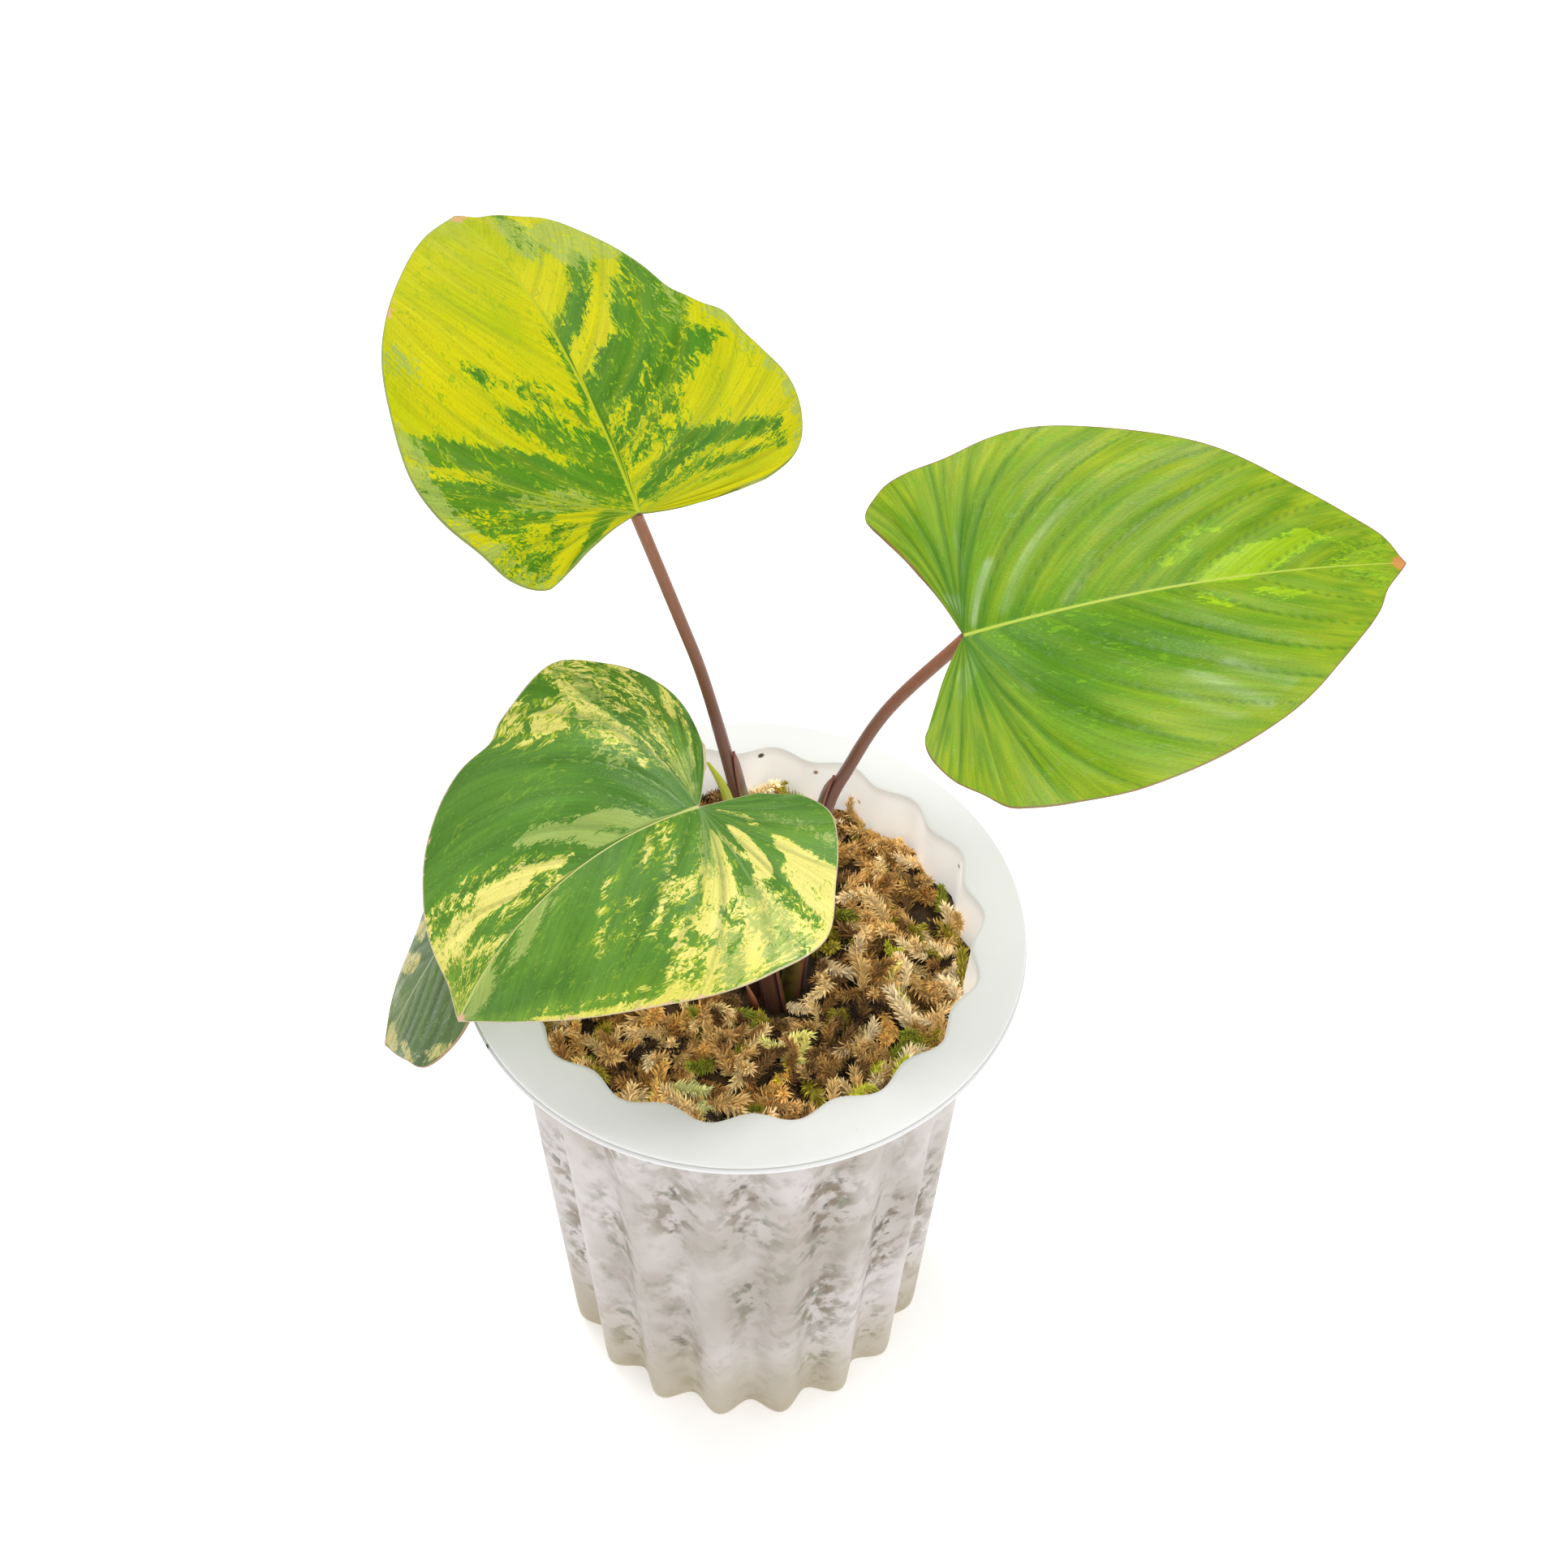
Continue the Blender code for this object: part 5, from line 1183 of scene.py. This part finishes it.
def makeTuft(number):        # one of the tuft shapes, its root at the origin, growing up
    draw, glint = random.Random(500 + number), random.Random(900 + number)
    rings, radii = len(tuft["radii"]), tuft["radii"]
    bend = math.radians(draw.uniform(*tuft["bend"])) * draw.choice((1, 1, -1))
    share = np.linspace(0, 1, rings)
    heading = bend * (share - 0.35) * share
    step = np.stack([np.sin(heading), 0.25 * np.sin(heading * 1.7 + number), np.cos(heading)], 1)
    path = np.vstack([np.zeros(3), np.cumsum(step[1:], axis=0)]) * tuft["length"] / (rings - 1)
    side = (0, 1, 0.01)
    across, third = ringFrames(path, side)
    stem = tubePiece("tuft_stem", ringsRound(path, side, radii[:, None], tuft["sides"]))
    pointValue(stem, "tip", 0.15)
    leaflet, tipShare = makeLeaflet()
    pointValue(leaflet, "tip", tipShare)
    fields = np.hstack([path, np.gradient(path, axis=0), across, third, radii[:, None]]).T
    pieces = [stem]
    for index in range(tuft["leaflets"]):
        spot = (index + 0.5) / tuft["leaflets"]
        turn = index * tuft["goldenTurn"] + draw.uniform(-tuft["stray"], tuft["stray"])
        here = np.array([np.interp(spot * (rings - 1), range(rings), values) for values in fields])
        place, ahead, toSide, up, radius = here[:3], here[3:6], here[6:9], here[9:12], here[12]
        out = toSide * math.cos(turn) + up * math.sin(turn)
        opening = math.radians(draw.uniform(*tuft["open"]) - tuft["closeAtTip"] * spot ** 3)
        ahead = ahead / np.linalg.norm(ahead)
        direction = ahead * math.cos(opening) + out * math.sin(opening)
        size = draw.uniform(*tuft["leafletSize"]) * (0.65 + 0.9 * spot - 0.75 * spot ** 2)
        matrix = (Matrix.Translation(Vector(place + out * radius * 0.5) * mm) @ turnTo(direction)
                  @ Matrix.Rotation(draw.uniform(0, 6), 4, "Z") @ Matrix.Diagonal((1, 0.5, size, 1)))
        pieces.append(copyMesh(leaflet, matrix))
        pointValue(pieces[-1], "tip", tipShare * glint.uniform(*tuft["glint"]))
    bpy.data.objects.remove(leaflet, do_unlink=True)
    return joinPieces(pieces, f"tuft_{number}")


def tuftPlaces():        # tint, place, compass angle, lean from upright, length
    places = []
    wall, middle = pot["topRadius"], crown["place"]
    draw, tintDraw = random.Random(11), random.Random(5)
    while len(places) < moss["sprigs"]:
        x, y = draw.uniform(-wall, wall), draw.uniform(-wall, wall)
        length, radius = draw.uniform(*moss["sprigLength"]), draw.uniform(*moss["sprigRadius"])
        turn, lean = draw.uniform(-math.pi, math.pi), math.radians(draw.uniform(*moss["sprigLean"]))
        spots = [(x + part * length * math.cos(turn), y + part * length * math.sin(turn))
                 for part in (-0.3, 0, 0.3, 0.7)]
        reach = wall - pot["wall"] - pot["fluteTop"] - radius - 2
        clear = crown["radius"][0] + 0.3 + radius + 0.5
        if any(math.hypot(*spot) > reach or math.dist(spot, middle) < clear for spot in spots):
            continue
        places.append((tintDraw.choice(moss["common"]), x, y, mossHeight(x, y), turn, lean, length))
    draw = random.Random(23)
    while len(places) < moss["sprigs"] + moss["more"]:
        along = draw.random() if len(places) % 5 else 1.0        # one in five lies along the wall
        radius, angle = moss["moreRadius"] * math.sqrt(along), draw.uniform(-math.pi, math.pi)
        x, y = radius * math.cos(angle), radius * math.sin(angle)
        turn, length = draw.uniform(-math.pi, math.pi), draw.uniform(*moss["moreLength"])
        lean = math.radians(draw.uniform(*moss["moreLean"]))
        tip = (x + length * math.sin(lean) * math.cos(turn), y + length * math.sin(lean) * math.sin(turn))
        nearest = min(math.dist((x, y), middle), math.dist(tip, middle))
        if math.hypot(*tip) > moss["tipRadius"] or nearest < moss["crownGap"]:
            continue
        tint = draw.choice(moss["common"])
        places.append((tint, x, y, mossHeight(x, y) + draw.uniform(*moss["moreRise"]), turn, lean, length))
    for tint, x, y, turn, length in moss["marked"]:
        z = mossHeight(x, y) + moss["markedRise"]
        places.append((tint, x, y, z, math.radians(turn), math.radians(moss["markedLean"]), length))
    return places


def mossMaterial():        # half-dry moss: dull, fuzzy, dark at the stems, with paler leaflet tips
    material, tree = newMaterial("dull_feathery_moss")
    tints = list(moss["tints"].values())
    colour = addNode(tree, "ValToRGB", {"Fac": addNode(tree, "Attribute", {"attribute_name": "tint"}, "Fac")})
    ramp = colour.node.color_ramp
    ramp.interpolation = "CONSTANT"
    ramp.elements[0].color = linearColour(tints[0])
    ramp.elements[1].position = (len(tints) - 1) / len(tints)
    ramp.elements[1].color = linearColour(tints[-1])
    for index, tint in enumerate(tints[1:-1], 1):
        ramp.elements.new(index / len(tints)).color = linearColour(tint)
    place = addNode(tree, "TexCoord", {}, "Object")
    blotch = addNode(tree, "TexNoise", {"Vector": place, "Scale": 260.0, "Detail": 2.0})        # 4 mm
    tip = addNode(tree, "Attribute", {"attribute_name": "tip"}, "Fac")
    shade = addNode(tree, "Math", {"operation": "MULTIPLY_ADD", 0: tip, 1: moss["tipLight"], 2: blotch})
    shade = addNode(tree, "Math", {"operation": "ADD", 0: shade, 1: moss["stemLight"]})
    colour = addNode(tree, "MixRGB", {"blend_type": "MULTIPLY", "Fac": 1.0, "Color1": colour,
                                      "Color2": shade})
    return setSurface(material, {"Base Color": colour, "Roughness": 0.85})


def makeMoss():
    shapes = [makeTuft(number) for number in range(tuft["shapes"])]
    names = list(moss["tints"])
    skin = mossMaterial()
    roll = random.Random(77)
    groups = {}
    for tint, x, y, z, turn, lean, length in tuftPlaces():
        size = length / tuft["length"]
        wide = min(1.2, 0.55 + 0.6 * size) * roll.uniform(0.9, 1.15)
        matrix = (Matrix.Translation(Vector((x, y, z)) * mm) @ Matrix.Rotation(turn, 4, "Z")
                  @ Matrix.Rotation(lean, 4, "Y") @ Matrix.Rotation(roll.uniform(0, 6.28), 4, "Z")
                  @ Matrix.Diagonal((wide, wide, size, 1)))
        twin = copyMesh(roll.choice(shapes), matrix)
        pointValue(twin, "tint", (names.index(tint) + 0.5) / len(names))
        groups.setdefault("front" if y < 0 else "back", []).append(twin)
    for shape in shapes:
        bpy.data.objects.remove(shape, do_unlink=True)
    for where, tufts in groups.items():
        piece = joinPieces(tufts, f"moss_tufts_{where}")
        piece.data.materials.clear()
        piece.data.materials.append(skin)
        finishPiece(piece, "moss", "moss_bed")
    makeMossBed()


def makeMossBed():
    foot, edge, floor = pot["footRadius"], pot["height"] - moss["depth"], pot["floor"] + .3
    side = pot["wall"] + 0.3
    profile = [(0, floor, 0), (foot - side - 2.6, floor, 1), (foot - side - .2, 6, 1)]
    profile += [(wallRadius(z) - side - .1, z, 1) for z in np.linspace(20, edge - 1, 10)]
    wallRows = len(profile)
    profile += [(radius, edge, 0) for radius in np.arange(58.5, -0.1, -1.5)]
    piece, places, angle, row = spinFluted("moss_bed_fine", profile, 8 * pot["flutes"])
    rough = np.random.default_rng(3).uniform(-moss["bedRough"], moss["bedRough"], len(places))
    onSeam = (row == len(profile) - 1) | (angle == angle.min())
    rough = np.where(onSeam, 0, rough)        # so that it stays closed
    x, y = places[:, 0], places[:, 1]
    away = np.hypot(x - crown["place"][0], y - crown["place"][1])
    sunk = moss["hollow"] * np.exp(-(away / moss["hollowWidth"]) ** 2)        # the crown sits in a hollow
    places[:, 2] = np.where(row >= wallRows, mossHeight(x, y) - sunk + rough, places[:, 2])
    placeVertices(piece, places)
    closeSeams(piece, 0.0001)
    material, tree = newMaterial("dark_brown_moss_bed")        # dark brown crumb between the tufts
    place = addNode(tree, "TexCoord", {}, "Object")
    grain = addNode(tree, "TexNoise", {"Vector": place, "Scale": 300.0, "Detail": 4.0})        # 3 mm crumb
    dark, light = linearColour(moss["bedDark"]), linearColour(moss["bedLight"])
    colour = layerColour(tree, dark, grain, (0.35, 0.7, 0.0, 1.0), light, "LINEAR")
    bump = addNode(tree, "Bump", {"Height": grain, "Strength": 0.8, "Distance": 0.001})
    skin = setSurface(material, {"Base Color": colour, "Roughness": 0.9, "Normal": bump})
    piece.data.materials.append(skin)
    shadeSmooth(piece, 60)
    finishPiece(piece, "moss", "moss_bed")


makeMoss()
print("moss is made")
